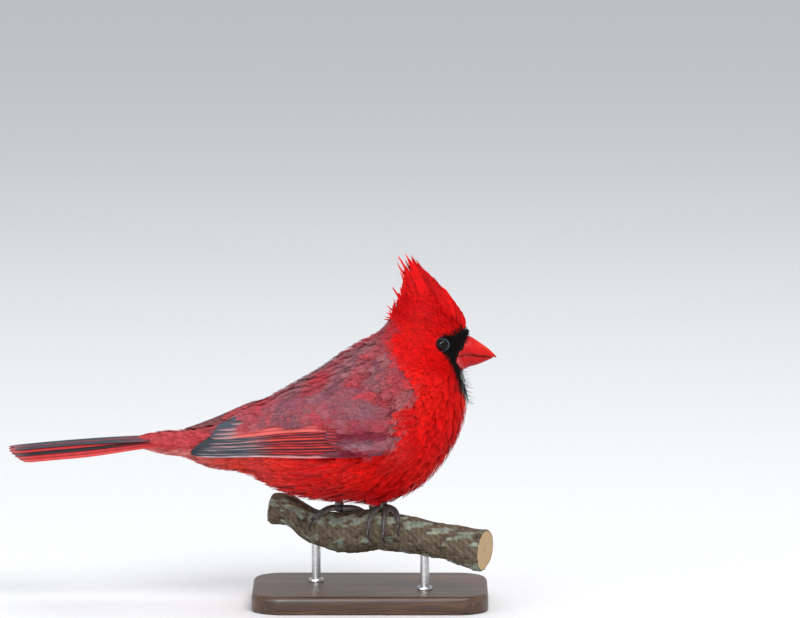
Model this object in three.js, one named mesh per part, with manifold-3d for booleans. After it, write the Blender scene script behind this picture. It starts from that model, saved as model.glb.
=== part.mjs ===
// A life-size male northern cardinal on a short cut branch, held up by a plain display stand.
// Millimetres, +Z up. The bird faces +X, its left side is +Y. The origin is the middle of the stand's underside.
import * as THREE from "three";
import { mergeVertices } from "three/addons/utils/BufferGeometryUtils.js";
import Module from "manifold-3d";

const wasm = await Module();
wasm.setup();

// ---------------------------------------------------------------- driving sizes
const GAP = 0.3; // clearance between neighbouring pieces
const DEG = Math.PI / 180;

// Body masses: centre x, z; radii along, across, up; nose-up pitch; blend width with the ones before it.
const TRUNK = { x: -6.2, z: 80.0, rx: 50.2, ry: 28.6, rz: 28.9, pitch: 22.7, blend: 0 };
const BREAST = { x: 8.0, z: 80.3, rx: 28.9, ry: 26.4, rz: 36.1, pitch: -20.0, blend: 14 };
const BELLY = { x: -13.3, z: 65.9, rx: 20.0, ry: 21.0, rz: 13.0, pitch: 25.0, blend: 12 };
const RUMP = { x: -38.0, z: 76.6, rx: 40.0, ry: 13.6, rz: 14.6, pitch: 15.7, blend: 10 };
const COVERTS = { x: -76.0, z: 70.9, rx: 28.0, ry: 8.2, rz: 6.2, pitch: -2.5, blend: 8 };
const NECK = { x: 12.7, z: 107.8, rx: 30.0, ry: 17.5, rz: 14.0, pitch: 20.8, blend: 8 };
const HEAD = { x: 24.6, z: 120.6, rx: 14.9, ry: 13.6, rz: 18.6, pitch: 12.2, blend: 10 };

// Crest: a thin blade that leans back; its front and back edges and half-widths go from root to tip.
const CREST = { rootZ: 121, tipZ: 154.8, frontRoot: 42.4, frontTip: 16.6, bulge: 5.6, backTip: 13.6, backRoot: 8.5, backBow: 9.5, halfRoot: 11.5, halfTip: 0.9, blend: 3.5 };

// Bill: root and tip, height of the gape line, depths above and below it, half-width.
const BILL = { rootX: 36.5, tipX: 55.6, gapeRoot: 111.4, gapeTip: 109.6, above: 8.6, below: 7.6, half: 6.4 };
const EYE = { x: 31.5, z: 116.7, r: 3.25, proud: 0.75 };

// Tail: folded, seen as an arched strip of stacked feathers.
const TAIL = { rootX: -72, tipX: -159.2, rootZ: 74.2, tipZ: 69.0, halfRoot: 6.5, half: 12.0, arch: 3.6, thickRoot: 3.2, thickTip: 1.3, roll: 3.5 };

// Folded wings: edges over x as [x, lower z, upper z] from wrist to tip, and the swell that carries the quills over the rump.
const WING_R = {
  side: -1, thick: 1.35, thickTip: 0.55,
  edge: [[15.5, 79, 84], [11, 72.5, 91], [-2, 69, 95.6], [-18, 67.9, 92.6], [-34, 67.3, 88.6], [-52, 66.8, 83.8], [-66, 66.2, 78.6], [-79, 65.5, 66.6]],
  swell: { x: -46, y: 3.5, z: 73, rx: 44, ry: 11, rz: 16, pitch: 12, blend: 8 },
};
const WING_L = {
  side: 1, thick: 1.35, thickTip: 0.55,
  edge: [[15.5, 79, 84], [11, 73.0, 91], [-2, 70.3, 96.2], [-18, 70.8, 95.2], [-34, 72.8, 93.0], [-52, 74.6, 88.4], [-68, 75.2, 82.4], [-82.5, 74.8, 76.0]],
  swell: { x: -50, y: 4, z: 80.5, rx: 44, ry: 10.5, rz: 13, pitch: 20, blend: 8 },
};

// Perch: a cut length of branch that runs across the bird at an angle; centre height and radius over its length.
const PERCH = {
  yaw: -25, from: -43, to: 60, midX: -4, sides: 12, rings: 20,
  line: [[-43, 39.5, 7.2], [-33, 37.6, 6.6], [-23, 33.0, 8.0], [-12, 31.0, 9.0], [0, 31.6, 9.4], [11, 33.2, 8.6], [24, 31.8, 8.2], [38, 30.2, 8.2], [52, 28.4, 8.8], [60, 27.6, 9.2]],
};
// Feet: where each foot stands along the perch, which way its front toes wrap, and each toe's reach along it, end angle and size.
const FEET = { right: { at: 11, wrap: -1 }, left: { at: -11, wrap: 1 } };
const TOES = [
  { reach: 10.5, end: 58, r0: 1.55, r1: 1.05 },
  { reach: 4.5, end: 88, r0: 1.5, r1: 1.0 },
  { reach: -2.5, end: 84, r0: 1.45, r1: 0.95 },
  { reach: -9.5, end: -62, r0: 1.6, r1: 1.1 },
];
const CLAW = { length: 26, r0: 0.85, r1: 0.22 };
const TARSUS = { topZ: 62, r0: 2.1, r1: 1.45 };

const BASE = { length: 104, width: 70, height: 8, corner: 14, bevel: 1.2 };
const ROD = { r: 2.0, at: [-22, 31], enter: 5 };

// ---------------------------------------------------------------- distance functions
function ellipsoid(p, m, ym = 0) {
  const c = Math.cos(m.pitch * DEG), s = Math.sin(m.pitch * DEG);
  const dx = p[0] - m.x, dy = p[1] - ym, dz = p[2] - m.z;
  const u = dx * c + dz * s, w = -dx * s + dz * c;
  const k0 = Math.hypot(u / m.rx, dy / m.ry, w / m.rz) + 1e-9;
  const k1 = Math.hypot(u / m.rx ** 2, dy / m.ry ** 2, w / m.rz ** 2) + 1e-9;
  return (k0 * (k0 - 1)) / k1;
}
function blend(a, b, k) {
  const h = Math.min(1, Math.max(0, 0.5 + (0.5 * (b - a)) / k));
  return b * (1 - h) + a * h - k * h * (1 - h);
}
function body(p) {
  let d = ellipsoid(p, TRUNK);
  for (const m of [BREAST, BELLY, RUMP, COVERTS, NECK, HEAD]) d = blend(d, ellipsoid(p, m), m.blend);
  return d;
}
const mix = (a, b, t) => a + (b - a) * t;
const clamp01 = (t) => Math.min(1, Math.max(0, t));
function crest(p) {
  const t = (p[2] - CREST.rootZ) / (CREST.tipZ - CREST.rootZ), u = clamp01(t);
  const front = mix(CREST.frontRoot, CREST.frontTip, u) + CREST.bulge * u * (1 - u);
  const back = mix(CREST.backRoot, CREST.backTip, Math.min(1, u * 1.0)) + CREST.backBow * u * (1 - u) * (1 - u) * 2.6;
  const half = mix(CREST.halfRoot, CREST.halfTip, Math.pow(u, 0.72));
  const a = Math.max(0.5, (front - back) / 2), xc = (front + back) / 2;
  const d = (Math.hypot((p[0] - xc) / a, p[1] / half) - 1) * Math.min(a, half);
  return Math.max(d, p[2] - CREST.tipZ, CREST.rootZ - p[2]);
}
const bird = (p) => blend(body(p), crest(p), CREST.blend);

// Half-width of the body, with a wing's swell on it, at a point of the side view.
function sideWidth(x, z, swell) {
  const f = (y) => {
    const d = body([x, y, z]);
    return swell ? blend(d, ellipsoid([x, y, z], swell, swell.y), swell.blend) : d;
  };
  let y = 42;
  for (let i = 0; i < 60 && y > 0.5; i++) {
    const d = f(y);
    if (d < 0.01) break;
    y -= Math.max(0.05, d * 0.8);
  }
  return Math.max(y, 0.5);
}

// ---------------------------------------------------------------- meshes
// Surface nets over a box, closed off just inside it, then each vertex is moved onto the surface.
function polygonize(shape, lo, hi, h) {
  const m = h * 1.3;
  const f = (p) => Math.max(shape(p), ...[0, 1, 2].flatMap((k) => [lo[k] + m - p[k], p[k] - hi[k] + m]));
  const n = [0, 1, 2].map((k) => Math.ceil((hi[k] - lo[k]) / h) + 1);
  const at = (i, j, k) => i + n[0] * (j + n[1] * k);
  const v = new Float32Array(n[0] * n[1] * n[2]);
  for (let k = 0; k < n[2]; k++)
    for (let j = 0; j < n[1]; j++)
      for (let i = 0; i < n[0]; i++) v[at(i, j, k)] = f([lo[0] + i * h, lo[1] + j * h, lo[2] + k * h]);
  const id = new Int32Array(v.length).fill(-1), verts = [], quads = [];
  const corners = [0, 1, 2, 3, 4, 5, 6, 7].map((c) => [c & 1, (c >> 1) & 1, c >> 2]);
  const edges = [];
  for (let a = 0; a < 8; a++) for (let b = a + 1; b < 8; b++) if ([1, 2, 4].includes(a ^ b)) edges.push([a, b]);
  for (let k = 0; k < n[2] - 1; k++)
    for (let j = 0; j < n[1] - 1; j++)
      for (let i = 0; i < n[0] - 1; i++) {
        const g = corners.map(([a, b, c]) => v[at(i + a, j + b, k + c)]);
        if (g.every((x) => x < 0) || g.every((x) => x >= 0)) continue;
        let s = [0, 0, 0], cuts = 0;
        for (const [a, b] of edges) {
          if (g[a] < 0 === g[b] < 0) continue;
          const t = g[a] / (g[a] - g[b]);
          for (let q = 0; q < 3; q++) s[q] += corners[a][q] + t * (corners[b][q] - corners[a][q]);
          cuts++;
        }
        let p = [lo[0] + (i + s[0] / cuts) * h, lo[1] + (j + s[1] / cuts) * h, lo[2] + (k + s[2] / cuts) * h];
        for (let it = 0; it < 2; it++) {
          const e = 0.05, d = f(p);
          const gr = [0, 1, 2].map((q) => { const a = [...p], b = [...p]; a[q] += e; b[q] -= e; return (f(a) - f(b)) / (2 * e); });
          const l2 = Math.max(0.05, gr[0] ** 2 + gr[1] ** 2 + gr[2] ** 2);
          const step = Math.max(-h * 0.4, Math.min(h * 0.4, d)) / l2;
          p = p.map((x, q) => x - gr[q] * step * Math.min(1, Math.sqrt(l2)));
        }
        id[at(i, j, k)] = verts.length / 3;
        verts.push(...p);
      }
  for (let k = 1; k < n[2] - 1; k++)
    for (let j = 1; j < n[1] - 1; j++)
      for (let i = 1; i < n[0] - 1; i++) {
        const here = v[at(i, j, k)] < 0;
        [[1, 0, 0], [0, 1, 0], [0, 0, 1]].forEach((d, q) => {
          const there = v[at(i + d[0], j + d[1], k + d[2])] < 0;
          if (here === there) return;
          const [a, b] = [(q + 1) % 3, (q + 2) % 3], c = [i, j, k];
          const cell = (da, db) => { const r = [...c]; r[a] -= da; r[b] -= db; return id[at(...r)]; };
          const ring = [cell(0, 0), cell(1, 0), cell(1, 1), cell(0, 1)];
          if (!here) ring.reverse();
          quads.push(ring[0], ring[1], ring[2], ring[0], ring[2], ring[3]);
        });
      }
  return new THREE.BufferGeometry().setAttribute("position", new THREE.Float32BufferAttribute(verts, 3)).setIndex(quads);
}

// A closed sweep of rings, each a list of points; its ends are capped flat.
function skinOf(rings) {
  const m = rings[0].length, verts = rings.flat(2), idx = [];
  for (let i = 0; i < rings.length - 1; i++)
    for (let j = 0; j < m; j++) {
      const a = i * m + j, b = i * m + ((j + 1) % m), c = a + m, d = b + m;
      idx.push(a, b, d, a, d, c);
    }
  const mean = (r) => [0, 1, 2].map((k) => r.reduce((s, p) => s + p[k], 0) / m);
  const first = verts.length / 3;
  verts.push(...mean(rings[0]), ...mean(rings[rings.length - 1]));
  const last = (rings.length - 1) * m;
  for (let j = 0; j < m; j++) {
    idx.push(first, (j + 1) % m, j);
    idx.push(first + 1, last + j, last + ((j + 1) % m));
  }
  return new THREE.BufferGeometry().setAttribute("position", new THREE.Float32BufferAttribute(verts, 3)).setIndex(idx);
}

function solid(geometry, matrix = null) {
  let g = geometry.index ? geometry.toNonIndexed() : geometry.clone();
  g.deleteAttribute("normal");
  g.deleteAttribute("uv");
  if (matrix) g.applyMatrix4(matrix);
  g = mergeVertices(g, 1e-4);
  const tri = new Uint32Array(g.index.array);
  let made = new wasm.Manifold(new wasm.Mesh({ numProp: 3, vertProperties: g.attributes.position.array, triVerts: tri }));
  if (made.volume() < 0) {
    for (let i = 0; i < tri.length; i += 3) [tri[i + 1], tri[i + 2]] = [tri[i + 2], tri[i + 1]];
    made = new wasm.Manifold(new wasm.Mesh({ numProp: 3, vertProperties: g.attributes.position.array, triVerts: tri }));
  }
  return made;
}
const largest = (s) => s.decompose().sort((a, b) => b.volume() - a.volume())[0];
function geometryOf(s) {
  const m = s.getMesh(), v = new Float32Array(m.numVert * 3);
  for (let i = 0; i < m.numVert; i++) v.set(m.vertProperties.subarray(i * m.numProp, i * m.numProp + 3), i * 3);
  const g = new THREE.BufferGeometry().setAttribute("position", new THREE.BufferAttribute(v, 3)).setIndex(new THREE.BufferAttribute(new Uint32Array(m.triVerts), 1));
  g.computeVertexNormals();
  return g;
}
// The half-space behind a plane through two points of the side view, as a big box: "behind" is to the left of a to b.
function halfSpace(a, b, shift = 0) {
  const size = 400, ang = Math.atan2(b[1] - a[1], b[0] - a[0]);
  const box = new THREE.BoxGeometry(size, size, size);
  const m = new THREE.Matrix4().makeTranslation(0, 0, size / 2 + shift);
  m.premultiply(new THREE.Matrix4().makeRotationY(-ang));
  m.premultiply(new THREE.Matrix4().makeTranslation(a[0], 0, a[1]));
  return solid(box, m);
}

// ---------------------------------------------------------------- bill, eyes
// Half of the bill; the flat side along the gape is one straight run of each ring.
function mandible(upper, grow = 0) {
  const rings = [], steps = 11, m = 10, cut = grow ? -0.01 : GAP / 2;
  for (let i = 0; i <= steps; i++) {
    const t = i / steps, x = mix(BILL.rootX - grow * 2, BILL.tipX - (upper ? 0 : 1.6) + grow, t);
    const taper = Math.pow(Math.max(0, 1 - Math.pow(t, upper ? 1.75 : 1.3)), upper ? 0.92 : 1.0);
    const gape = mix(BILL.gapeRoot, BILL.gapeTip, t) - (upper ? 0.5 * Math.pow(t, 12) : 0);
    const depth = (upper ? BILL.above : BILL.below) * taper + 0.4 + grow;
    const half = BILL.half * Math.pow(Math.max(0, 1 - Math.pow(t, 1.22)), 0.86) + 0.35 + grow;
    const ring = [];
    for (let j = 0; j <= m; j++) {
      const a = (j / m) * Math.PI;
      ring.push([x, (upper ? 1 : -1) * half * Math.cos(a), gape + (upper ? 1 : -1) * (cut + depth * Math.pow(Math.sin(a), 0.9))]);
    }
    rings.push(ring);
  }
  return solid(skinOf(rings));
}
const eyeY = sideWidth(EYE.x, EYE.z, null) - EYE.r + EYE.proud;
const sphere = (r, y) => solid(new THREE.SphereGeometry(r, 12, 10), new THREE.Matrix4().makeTranslation(EYE.x, y, EYE.z));

// ---------------------------------------------------------------- wings
function alongEdge(edge, t, k) {
  const x = mix(edge[0][0], edge[edge.length - 1][0], t);
  let i = 0;
  while (i < edge.length - 2 && x < edge[i + 1][0]) i++;
  const [a, b] = [edge[i], edge[i + 1]], u = clamp01((x - a[0]) / (b[0] - a[0]));
  const slope = (j) => {
    const p = edge[Math.max(0, j - 1)], q = edge[Math.min(edge.length - 1, j + 1)];
    return (q[k] - p[k]) / (q[0] - p[0]);
  };
  const h = b[0] - a[0], u2 = u * u, u3 = u2 * u;
  return (2 * u3 - 3 * u2 + 1) * a[k] + (u3 - 2 * u2 + u) * h * slope(i) + (-2 * u3 + 3 * u2) * b[k] + (u3 - u2) * h * slope(i + 1);
}
function wing(w, grow = 0) {
  const along = 16, across = 5, rings = [];
  for (let i = 0; i <= along; i++) {
    const t = i / along, x = mix(w.edge[0][0] + grow, w.edge[w.edge.length - 1][0] - grow, t);
    const lo = alongEdge(w.edge, t, 1) - grow, hi = alongEdge(w.edge, t, 2) + grow;
    const thick = mix(w.thick, w.thickTip, clamp01((t - 0.35) / 0.65)) + grow;
    const outer = [], inner = [];
    for (let j = 0; j <= across; j++) {
      const z = mix(lo, hi, j / across);
      const y = sideWidth(x, z, w.swell) - 0.5;
      const rim = 0.35 + 0.65 * Math.sqrt(Math.sin(Math.PI * mix(0.1, 0.9, j / across)));
      outer.push([x, w.side * (y + thick * rim), z]);
      inner.push([x, w.side * (y - thick * rim), z]);
    }
    rings.push([...outer, ...inner.reverse()]);
  }
  return solid(skinOf(rings));
}

// ---------------------------------------------------------------- tail
function tail(grow = 0) {
  const steps = 15, across = 7, rings = [];
  const roll = TAIL.roll * DEG;
  for (let i = 0; i <= steps; i++) {
    const t = i / steps, x = mix(TAIL.rootX + grow, TAIL.tipX - grow, t);
    const zc = mix(TAIL.rootZ, TAIL.tipZ, t) + 1.1 * Math.sin(Math.PI * t);
    let half = mix(TAIL.halfRoot, TAIL.half, Math.pow(clamp01(t / 0.55), 0.8));
    half *= Math.sqrt(1 - Math.pow(clamp01((t - 0.9) / 0.105), 2) * 0.8);
    const thick = mix(TAIL.thickRoot, TAIL.thickTip, t) / 2 + grow;
    const upper = [], lower = [];
    for (let j = 0; j <= across; j++) {
      const v = mix(-1, 1, j / across), y = v * (half + grow);
      const drop = -TAIL.arch * Math.pow(Math.abs(v), 1.6) * (half / TAIL.half);
      const th = thick * Math.sqrt(Math.max(0.12, 1 - v * v * 0.85));
      const put = (z) => [x, y * Math.cos(roll) - z * Math.sin(roll), zc + y * Math.sin(roll) + z * Math.cos(roll)];
      upper.push(put(drop + th));
      lower.push(put(drop - th));
    }
    rings.push([...upper, ...lower.reverse()]);
  }
  return solid(skinOf(rings));
}

// ---------------------------------------------------------------- perch, feet
const perchCurve = new THREE.CatmullRomCurve3(PERCH.line.map(([s, z]) => new THREE.Vector3(s, 0, z)), false, "centripetal");
const perchTable = perchCurve.getPoints(400);
function perchAt(s) {
  let i = 0;
  while (i < perchTable.length - 2 && perchTable[i + 1].x < s) i++;
  const a = perchTable[i], b = perchTable[i + 1], u = (s - a.x) / (b.x - a.x);
  let j = 0;
  while (j < PERCH.line.length - 2 && PERCH.line[j + 1][0] < s) j++;
  const p = PERCH.line[j], q = PERCH.line[j + 1], w = clamp01((s - p[0]) / (q[0] - p[0]));
  return { z: mix(a.z, b.z, u), r: mix(p[2], q[2], w * w * (3 - 2 * w)), tilt: Math.atan2(b.z - a.z, b.x - a.x) };
}
const bark = (s, a) => 0.35 * Math.sin(2 * a + 0.11 * s) + 0.22 * Math.sin(3 * a - 0.17 * s + 1) + 0.25 * Math.sin(0.31 * s + a);
const yaw = PERCH.yaw * DEG;
// A point by its place along the perch, its angle from the top towards the bird's left, and its height over the bark.
function onPerch(s, angle, over) {
  const c = perchAt(s), r = c.r + bark(s, angle) + over;
  const side = r * Math.sin(angle), up = r * Math.cos(angle);
  const along = s - up * Math.sin(c.tilt), z = c.z + up * Math.cos(c.tilt);
  return [PERCH.midX + along * Math.cos(yaw) - side * Math.sin(yaw), along * Math.sin(yaw) + side * Math.cos(yaw), z];
}
function perch(grow = 0) {
  const rings = [];
  for (let i = 0; i <= PERCH.rings; i++) {
    const s = mix(PERCH.from, PERCH.to, i / PERCH.rings), ring = [];
    for (let j = 0; j < PERCH.sides; j++) ring.push(onPerch(s, (j / PERCH.sides) * 2 * Math.PI, grow));
    rings.push(ring);
  }
  return solid(skinOf(rings));
}
// A tapered round limb along points.
function limb(points, r0, r1, sides = 8, grow = 0) {
  const v = points.map((p) => new THREE.Vector3(...p)), rings = [];
  let up = new THREE.Vector3(0, 0, 1);
  v.forEach((p, i) => {
    const dir = new THREE.Vector3().subVectors(v[Math.min(i + 1, v.length - 1)], v[Math.max(i - 1, 0)]).normalize();
    const side = new THREE.Vector3().crossVectors(dir, up);
    if (side.length() < 0.1) side.crossVectors(dir, new THREE.Vector3(0, 1, 0));
    side.normalize();
    up = new THREE.Vector3().crossVectors(side, dir).normalize();
    const r = mix(r0, r1, i / (v.length - 1)) + grow, ring = [];
    for (let j = 0; j < sides; j++) {
      const a = (j / sides) * 2 * Math.PI;
      const q = p.clone().addScaledVector(side, r * Math.cos(a)).addScaledVector(up, r * Math.sin(a));
      ring.push([q.x, q.y, q.z]);
    }
    rings.push(ring);
  });
  return skinOf(rings);
}
const toePoint = (foot, toe, t) => {
  const angle = foot.wrap * toe.end * DEG * t, r = mix(toe.r0, toe.r1, t);
  return onPerch(foot.at + toe.reach * Math.sqrt(t), angle, r + GAP + 0.25);
};
function pad(f, grow = 0) {
  return solid(new THREE.SphereGeometry(2.15 + grow * 1.05, 8, 6), new THREE.Matrix4().makeTranslation(...onPerch(f.at, 0, 1.9)));
}
function foot(f, grow = 0) {
  let made = pad(f, grow);
  for (const toe of TOES) {
    const pts = [];
    for (let i = 0; i <= 5; i++) pts.push(toePoint(f, toe, 0.02 + ((0.98 + grow * 0.05) * i) / 5));
    made = made.add(solid(limb(pts, toe.r0, toe.r1, 6, grow * 1.1)));
  }
  return made;
}
function claw(f, toe, grow = 0) {
  const pts = [], sign = Math.sign(toe.end), last = perchAt(f.at + toe.reach).r + 1;
  for (let i = 0; i <= 4; i++) {
    const t = i / 4, angle = f.wrap * DEG * (toe.end + sign * (2.6 + (CLAW.length + 4) * t));
    pts.push(onPerch(f.at + toe.reach * (1 + 0.06 * t), angle, toe.r1 + GAP + 0.25 + 0.9 * Math.sin(Math.PI * t) - (toe.r1 - CLAW.r1 + 0.05) * t * t));
  }
  return solid(limb(pts, CLAW.r0, CLAW.r1, 6, grow * 1.1));
}
function tarsus(f, grow = 0) {
  const b = onPerch(f.at, 0, 4.3 - grow), side = f.wrap;
  const top = [b[0] - 5, side * 10, TARSUS.topZ + grow * 2];
  const pts = [0, 0.33, 0.66, 1].map((t) => [mix(top[0], b[0], t), mix(top[1], b[1], t), mix(top[2], b[2], t)]);
  return solid(limb(pts, TARSUS.r0, TARSUS.r1, 10, grow));
}

// ---------------------------------------------------------------- stand
function base() {
  const s = new THREE.Shape(), l = BASE.length / 2 - BASE.bevel, w = BASE.width / 2 - BASE.bevel, c = BASE.corner;
  s.moveTo(-l + c, -w);
  s.lineTo(l - c, -w); s.quadraticCurveTo(l, -w, l, -w + c);
  s.lineTo(l, w - c); s.quadraticCurveTo(l, w, l - c, w);
  s.lineTo(-l + c, w); s.quadraticCurveTo(-l, w, -l, w - c);
  s.lineTo(-l, -w + c); s.quadraticCurveTo(-l, -w, -l + c, -w);
  const g = new THREE.ExtrudeGeometry(s, { depth: BASE.height - 2 * BASE.bevel, bevelEnabled: true, bevelThickness: BASE.bevel, bevelSize: BASE.bevel, bevelSegments: 1, curveSegments: 4 });
  return solid(g, new THREE.Matrix4().makeTranslation(0, 0, BASE.bevel));
}
function rod(s, grow = 0) {
  const foot = BASE.height - 3 - grow, c = perchAt(s), top = c.z - c.r + ROD.enter + grow;
  const g = new THREE.CylinderGeometry(ROD.r + grow, ROD.r + grow, top - foot, 20).rotateX(Math.PI / 2);
  return solid(g, new THREE.Matrix4().makeTranslation(PERCH.midX + s * Math.cos(yaw), s * Math.sin(yaw), (foot + top) / 2));
}

// ---------------------------------------------------------------- put together and part with thin cuts
const beak = { upper: mandible(true), lower: mandible(false) };
const wingR = wing(WING_R), wingL = wing(WING_L), tailSolid = tail();
const clearOfPerch = (s) => largest(s.subtract(perch(GAP * 0.6)));
const feet = { right: clearOfPerch(foot(FEET.right)), left: clearOfPerch(foot(FEET.left)) };
const shins = { right: tarsus(FEET.right), left: tarsus(FEET.left) };
for (const side of ["right", "left"]) shins[side] = largest(shins[side].subtract(foot(FEET[side], GAP)));

const fine = polygonize(bird, [-6, -22, 96], [48, 22, 159], 3.35);
const coarse = polygonize(body, [-116, -34, 36], [52, 34, 131], 5.6);
const headCut = [[43, 101.5], [4, 122.5]]; // throat to nape
let upperBody = solid(fine), lowerBody = solid(coarse);
const hole = [mandible(true, GAP * 1.4), mandible(false, GAP * 1.4), sphere(EYE.r + GAP, eyeY), sphere(EYE.r + GAP, -eyeY)];
const carve = [wing(WING_R, GAP), wing(WING_L, GAP), tail(GAP), perch(GAP)];
for (const f of [FEET.right, FEET.left]) carve.push(tarsus(f, GAP), foot(f, GAP), ...TOES.map((t) => claw(f, t, GAP)));

// the head and crest, above the throat-to-nape cut
let headPiece = upperBody.intersect(halfSpace(headCut[1], headCut[0]));
for (const s of hole) headPiece = headPiece.subtract(s);
const crestLevel = [[60, 128.6], [-10, 128.6]];
const crestPiece = largest(headPiece.intersect(halfSpace([-10, 128.6], [60, 128.6], GAP / 2)));
headPiece = largest(headPiece.subtract(halfSpace([-10, 128.6], [60, 128.6], -GAP / 2)));

let rest = lowerBody.subtract(halfSpace(headCut[1], headCut[0], -GAP));
for (const s of [...carve, ...hole]) rest = rest.subtract(s);
const neckCut = [[48, 88], [-14, 116]]; // collar
const neckPiece = largest(rest.intersect(halfSpace(neckCut[1], neckCut[0], GAP / 2)));
rest = rest.subtract(halfSpace(neckCut[1], neckCut[0], -GAP / 2));
const rumpFrom = [[-36, 40], [-50, 110]];
const rumpPiece = largest(rest.intersect(halfSpace(rumpFrom[0], rumpFrom[1], GAP / 2)));
const trunkPiece = largest(rest.subtract(halfSpace(rumpFrom[0], rumpFrom[1], -GAP / 2)));

let perchPiece = perch();
for (const s of ROD.at) perchPiece = perchPiece.subtract(rod(s, GAP));
perchPiece = largest(perchPiece);
let basePiece = base();
for (const s of ROD.at) basePiece = basePiece.subtract(rod(s, GAP));

// ---------------------------------------------------------------- materials and scene graph
const paint = (color, roughness, metalness = 0) => new THREE.MeshStandardMaterial({ color, roughness, metalness });
const RED = paint(0xd11212, 0.8), ROSE = paint(0x9c4a50, 0.85), QUILL = paint(0x6a3a46, 0.7), HORN = paint(0xe23a28, 0.35),
  BLACK = paint(0x0b0708, 0.08), LEG = paint(0x4a3b3a, 0.6), NAIL = paint(0x1d1718, 0.4), BARK = paint(0x7d8574, 0.95),
  WOOD = paint(0x3a2418, 0.45), STEEL = paint(0x9a9a9a, 0.3, 1);

const root = new THREE.Group();
const cardinal = new THREE.Group(), stand = new THREE.Group();
root.add(cardinal, stand);
const add = (group, name, s, material, tidy = 0.04) => {
  const mesh = new THREE.Mesh(geometryOf(s.simplify(tidy)), material);
  mesh.name = name;
  group.add(mesh);
};
add(cardinal, "head", headPiece, RED, 0.09);
add(cardinal, "crest", crestPiece, RED, 0.09);
add(cardinal, "neck", neckPiece, RED, 0.09);
add(cardinal, "trunk", trunkPiece, RED, 0.09);
add(cardinal, "rump", rumpPiece, ROSE, 0.09);
add(cardinal, "wing_right", wingR, QUILL);
add(cardinal, "wing_left", wingL, QUILL);
add(cardinal, "tail", tailSolid, QUILL);
add(cardinal, "bill_upper", beak.upper, HORN);
add(cardinal, "bill_lower", beak.lower, HORN);
add(cardinal, "eye_right", sphere(EYE.r, -eyeY), BLACK);
add(cardinal, "eye_left", sphere(EYE.r, eyeY), BLACK);
for (const side of ["right", "left"]) {
  add(cardinal, "tarsus_" + side, shins[side], LEG);
  let toes = feet[side];
  const claws = TOES.map((t) => claw(FEET[side], t));
  add(cardinal, "foot_" + side, toes, LEG, 0.1);
  claws.forEach((c, i) => add(cardinal, "claw_" + side + "_" + (i + 1), clearOfPerch(c.subtract(foot(FEET[side], 0.25))), NAIL));
}
add(stand, "perch", perchPiece, BARK, 0.1);
add(stand, "stand_base", basePiece, WOOD);
ROD.at.forEach((s, i) => add(stand, "stand_rod_" + (i + 1), rod(s), STEEL));

export default root;
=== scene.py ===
# Studio scene of a life-size male northern cardinal on a short cut branch with a display stand.
# Lengths in this script are millimetres until a mesh is made; the scene itself is in metres.
import math

import bpy
import numpy as np
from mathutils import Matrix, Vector, kdtree


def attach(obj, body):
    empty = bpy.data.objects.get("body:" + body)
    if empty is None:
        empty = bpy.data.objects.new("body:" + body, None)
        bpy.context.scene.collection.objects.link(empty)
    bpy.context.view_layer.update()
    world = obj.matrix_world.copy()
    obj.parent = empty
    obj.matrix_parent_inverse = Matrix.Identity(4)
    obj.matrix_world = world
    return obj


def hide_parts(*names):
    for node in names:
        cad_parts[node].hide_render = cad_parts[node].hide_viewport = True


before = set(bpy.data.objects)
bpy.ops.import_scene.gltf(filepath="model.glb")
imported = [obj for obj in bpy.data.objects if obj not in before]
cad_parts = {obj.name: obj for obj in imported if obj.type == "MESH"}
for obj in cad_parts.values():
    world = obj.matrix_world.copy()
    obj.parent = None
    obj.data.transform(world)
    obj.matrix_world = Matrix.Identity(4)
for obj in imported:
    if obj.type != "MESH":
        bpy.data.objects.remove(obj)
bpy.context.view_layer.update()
rng = np.random.default_rng(20817)
MM = 0.001

# ---------------------------------------------------------------- camera, light, floor
PX = 0.44  # millimetres per pixel of the 800 x 618 frame
ELEV = math.radians(7.0)


def look(obj, target):
    d = Vector(target) - obj.location
    obj.rotation_euler = d.to_track_quat("-Z", "Y").to_euler()


cam_data = bpy.data.cameras.new("camera")
cam = bpy.data.objects.new("camera", cam_data)
bpy.context.scene.collection.objects.link(cam)
bpy.context.scene.camera = cam
CAM_DIST = 3.0
aim = Vector(((400 - 370) * PX * MM, 0.0, (604 - 309) * PX * MM / math.cos(ELEV)))
cam.location = aim + Vector((0.0, -math.cos(ELEV) * CAM_DIST, math.sin(ELEV) * CAM_DIST))
look(cam, aim)
cam_data.sensor_width = 36.0
cam_data.lens = 36.0 * CAM_DIST / (800 * PX * MM)
cam_data.clip_end = 50.0
cam_data.dof.use_dof = False

scene = bpy.context.scene
scene.view_settings.view_transform = "Standard"
scene.view_settings.look = "None"

world = bpy.data.worlds.new("studio")
scene.world = world
world.use_nodes = True
wn = world.node_tree.nodes
wn["Background"].inputs["Color"].default_value = (0.93, 0.96, 1.0, 1.0)
wn["Background"].inputs["Strength"].default_value = 1.0
# the sky of the studio is as pale as the far floor at the horizon, so no line shows, and brightens above it
wtc = wn.new("ShaderNodeTexCoord")
wsep = wn.new("ShaderNodeSeparateXYZ")
wramp = wn.new("ShaderNodeValToRGB")
world.node_tree.links.new(wtc.outputs["Generated"], wsep.inputs["Vector"])
world.node_tree.links.new(wsep.outputs["Z"], wramp.inputs["Fac"])
wramp.color_ramp.interpolation = "EASE"
wramp.color_ramp.elements[0].position = 0.0
wramp.color_ramp.elements[0].color = (0.475, 0.49, 0.515, 1.0)
wramp.color_ramp.elements[1].position = 0.35
wramp.color_ramp.elements[1].color = (0.64, 0.66, 0.69, 1.0)
world.node_tree.links.new(wramp.outputs["Color"], wn["Background"].inputs["Color"])


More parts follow.
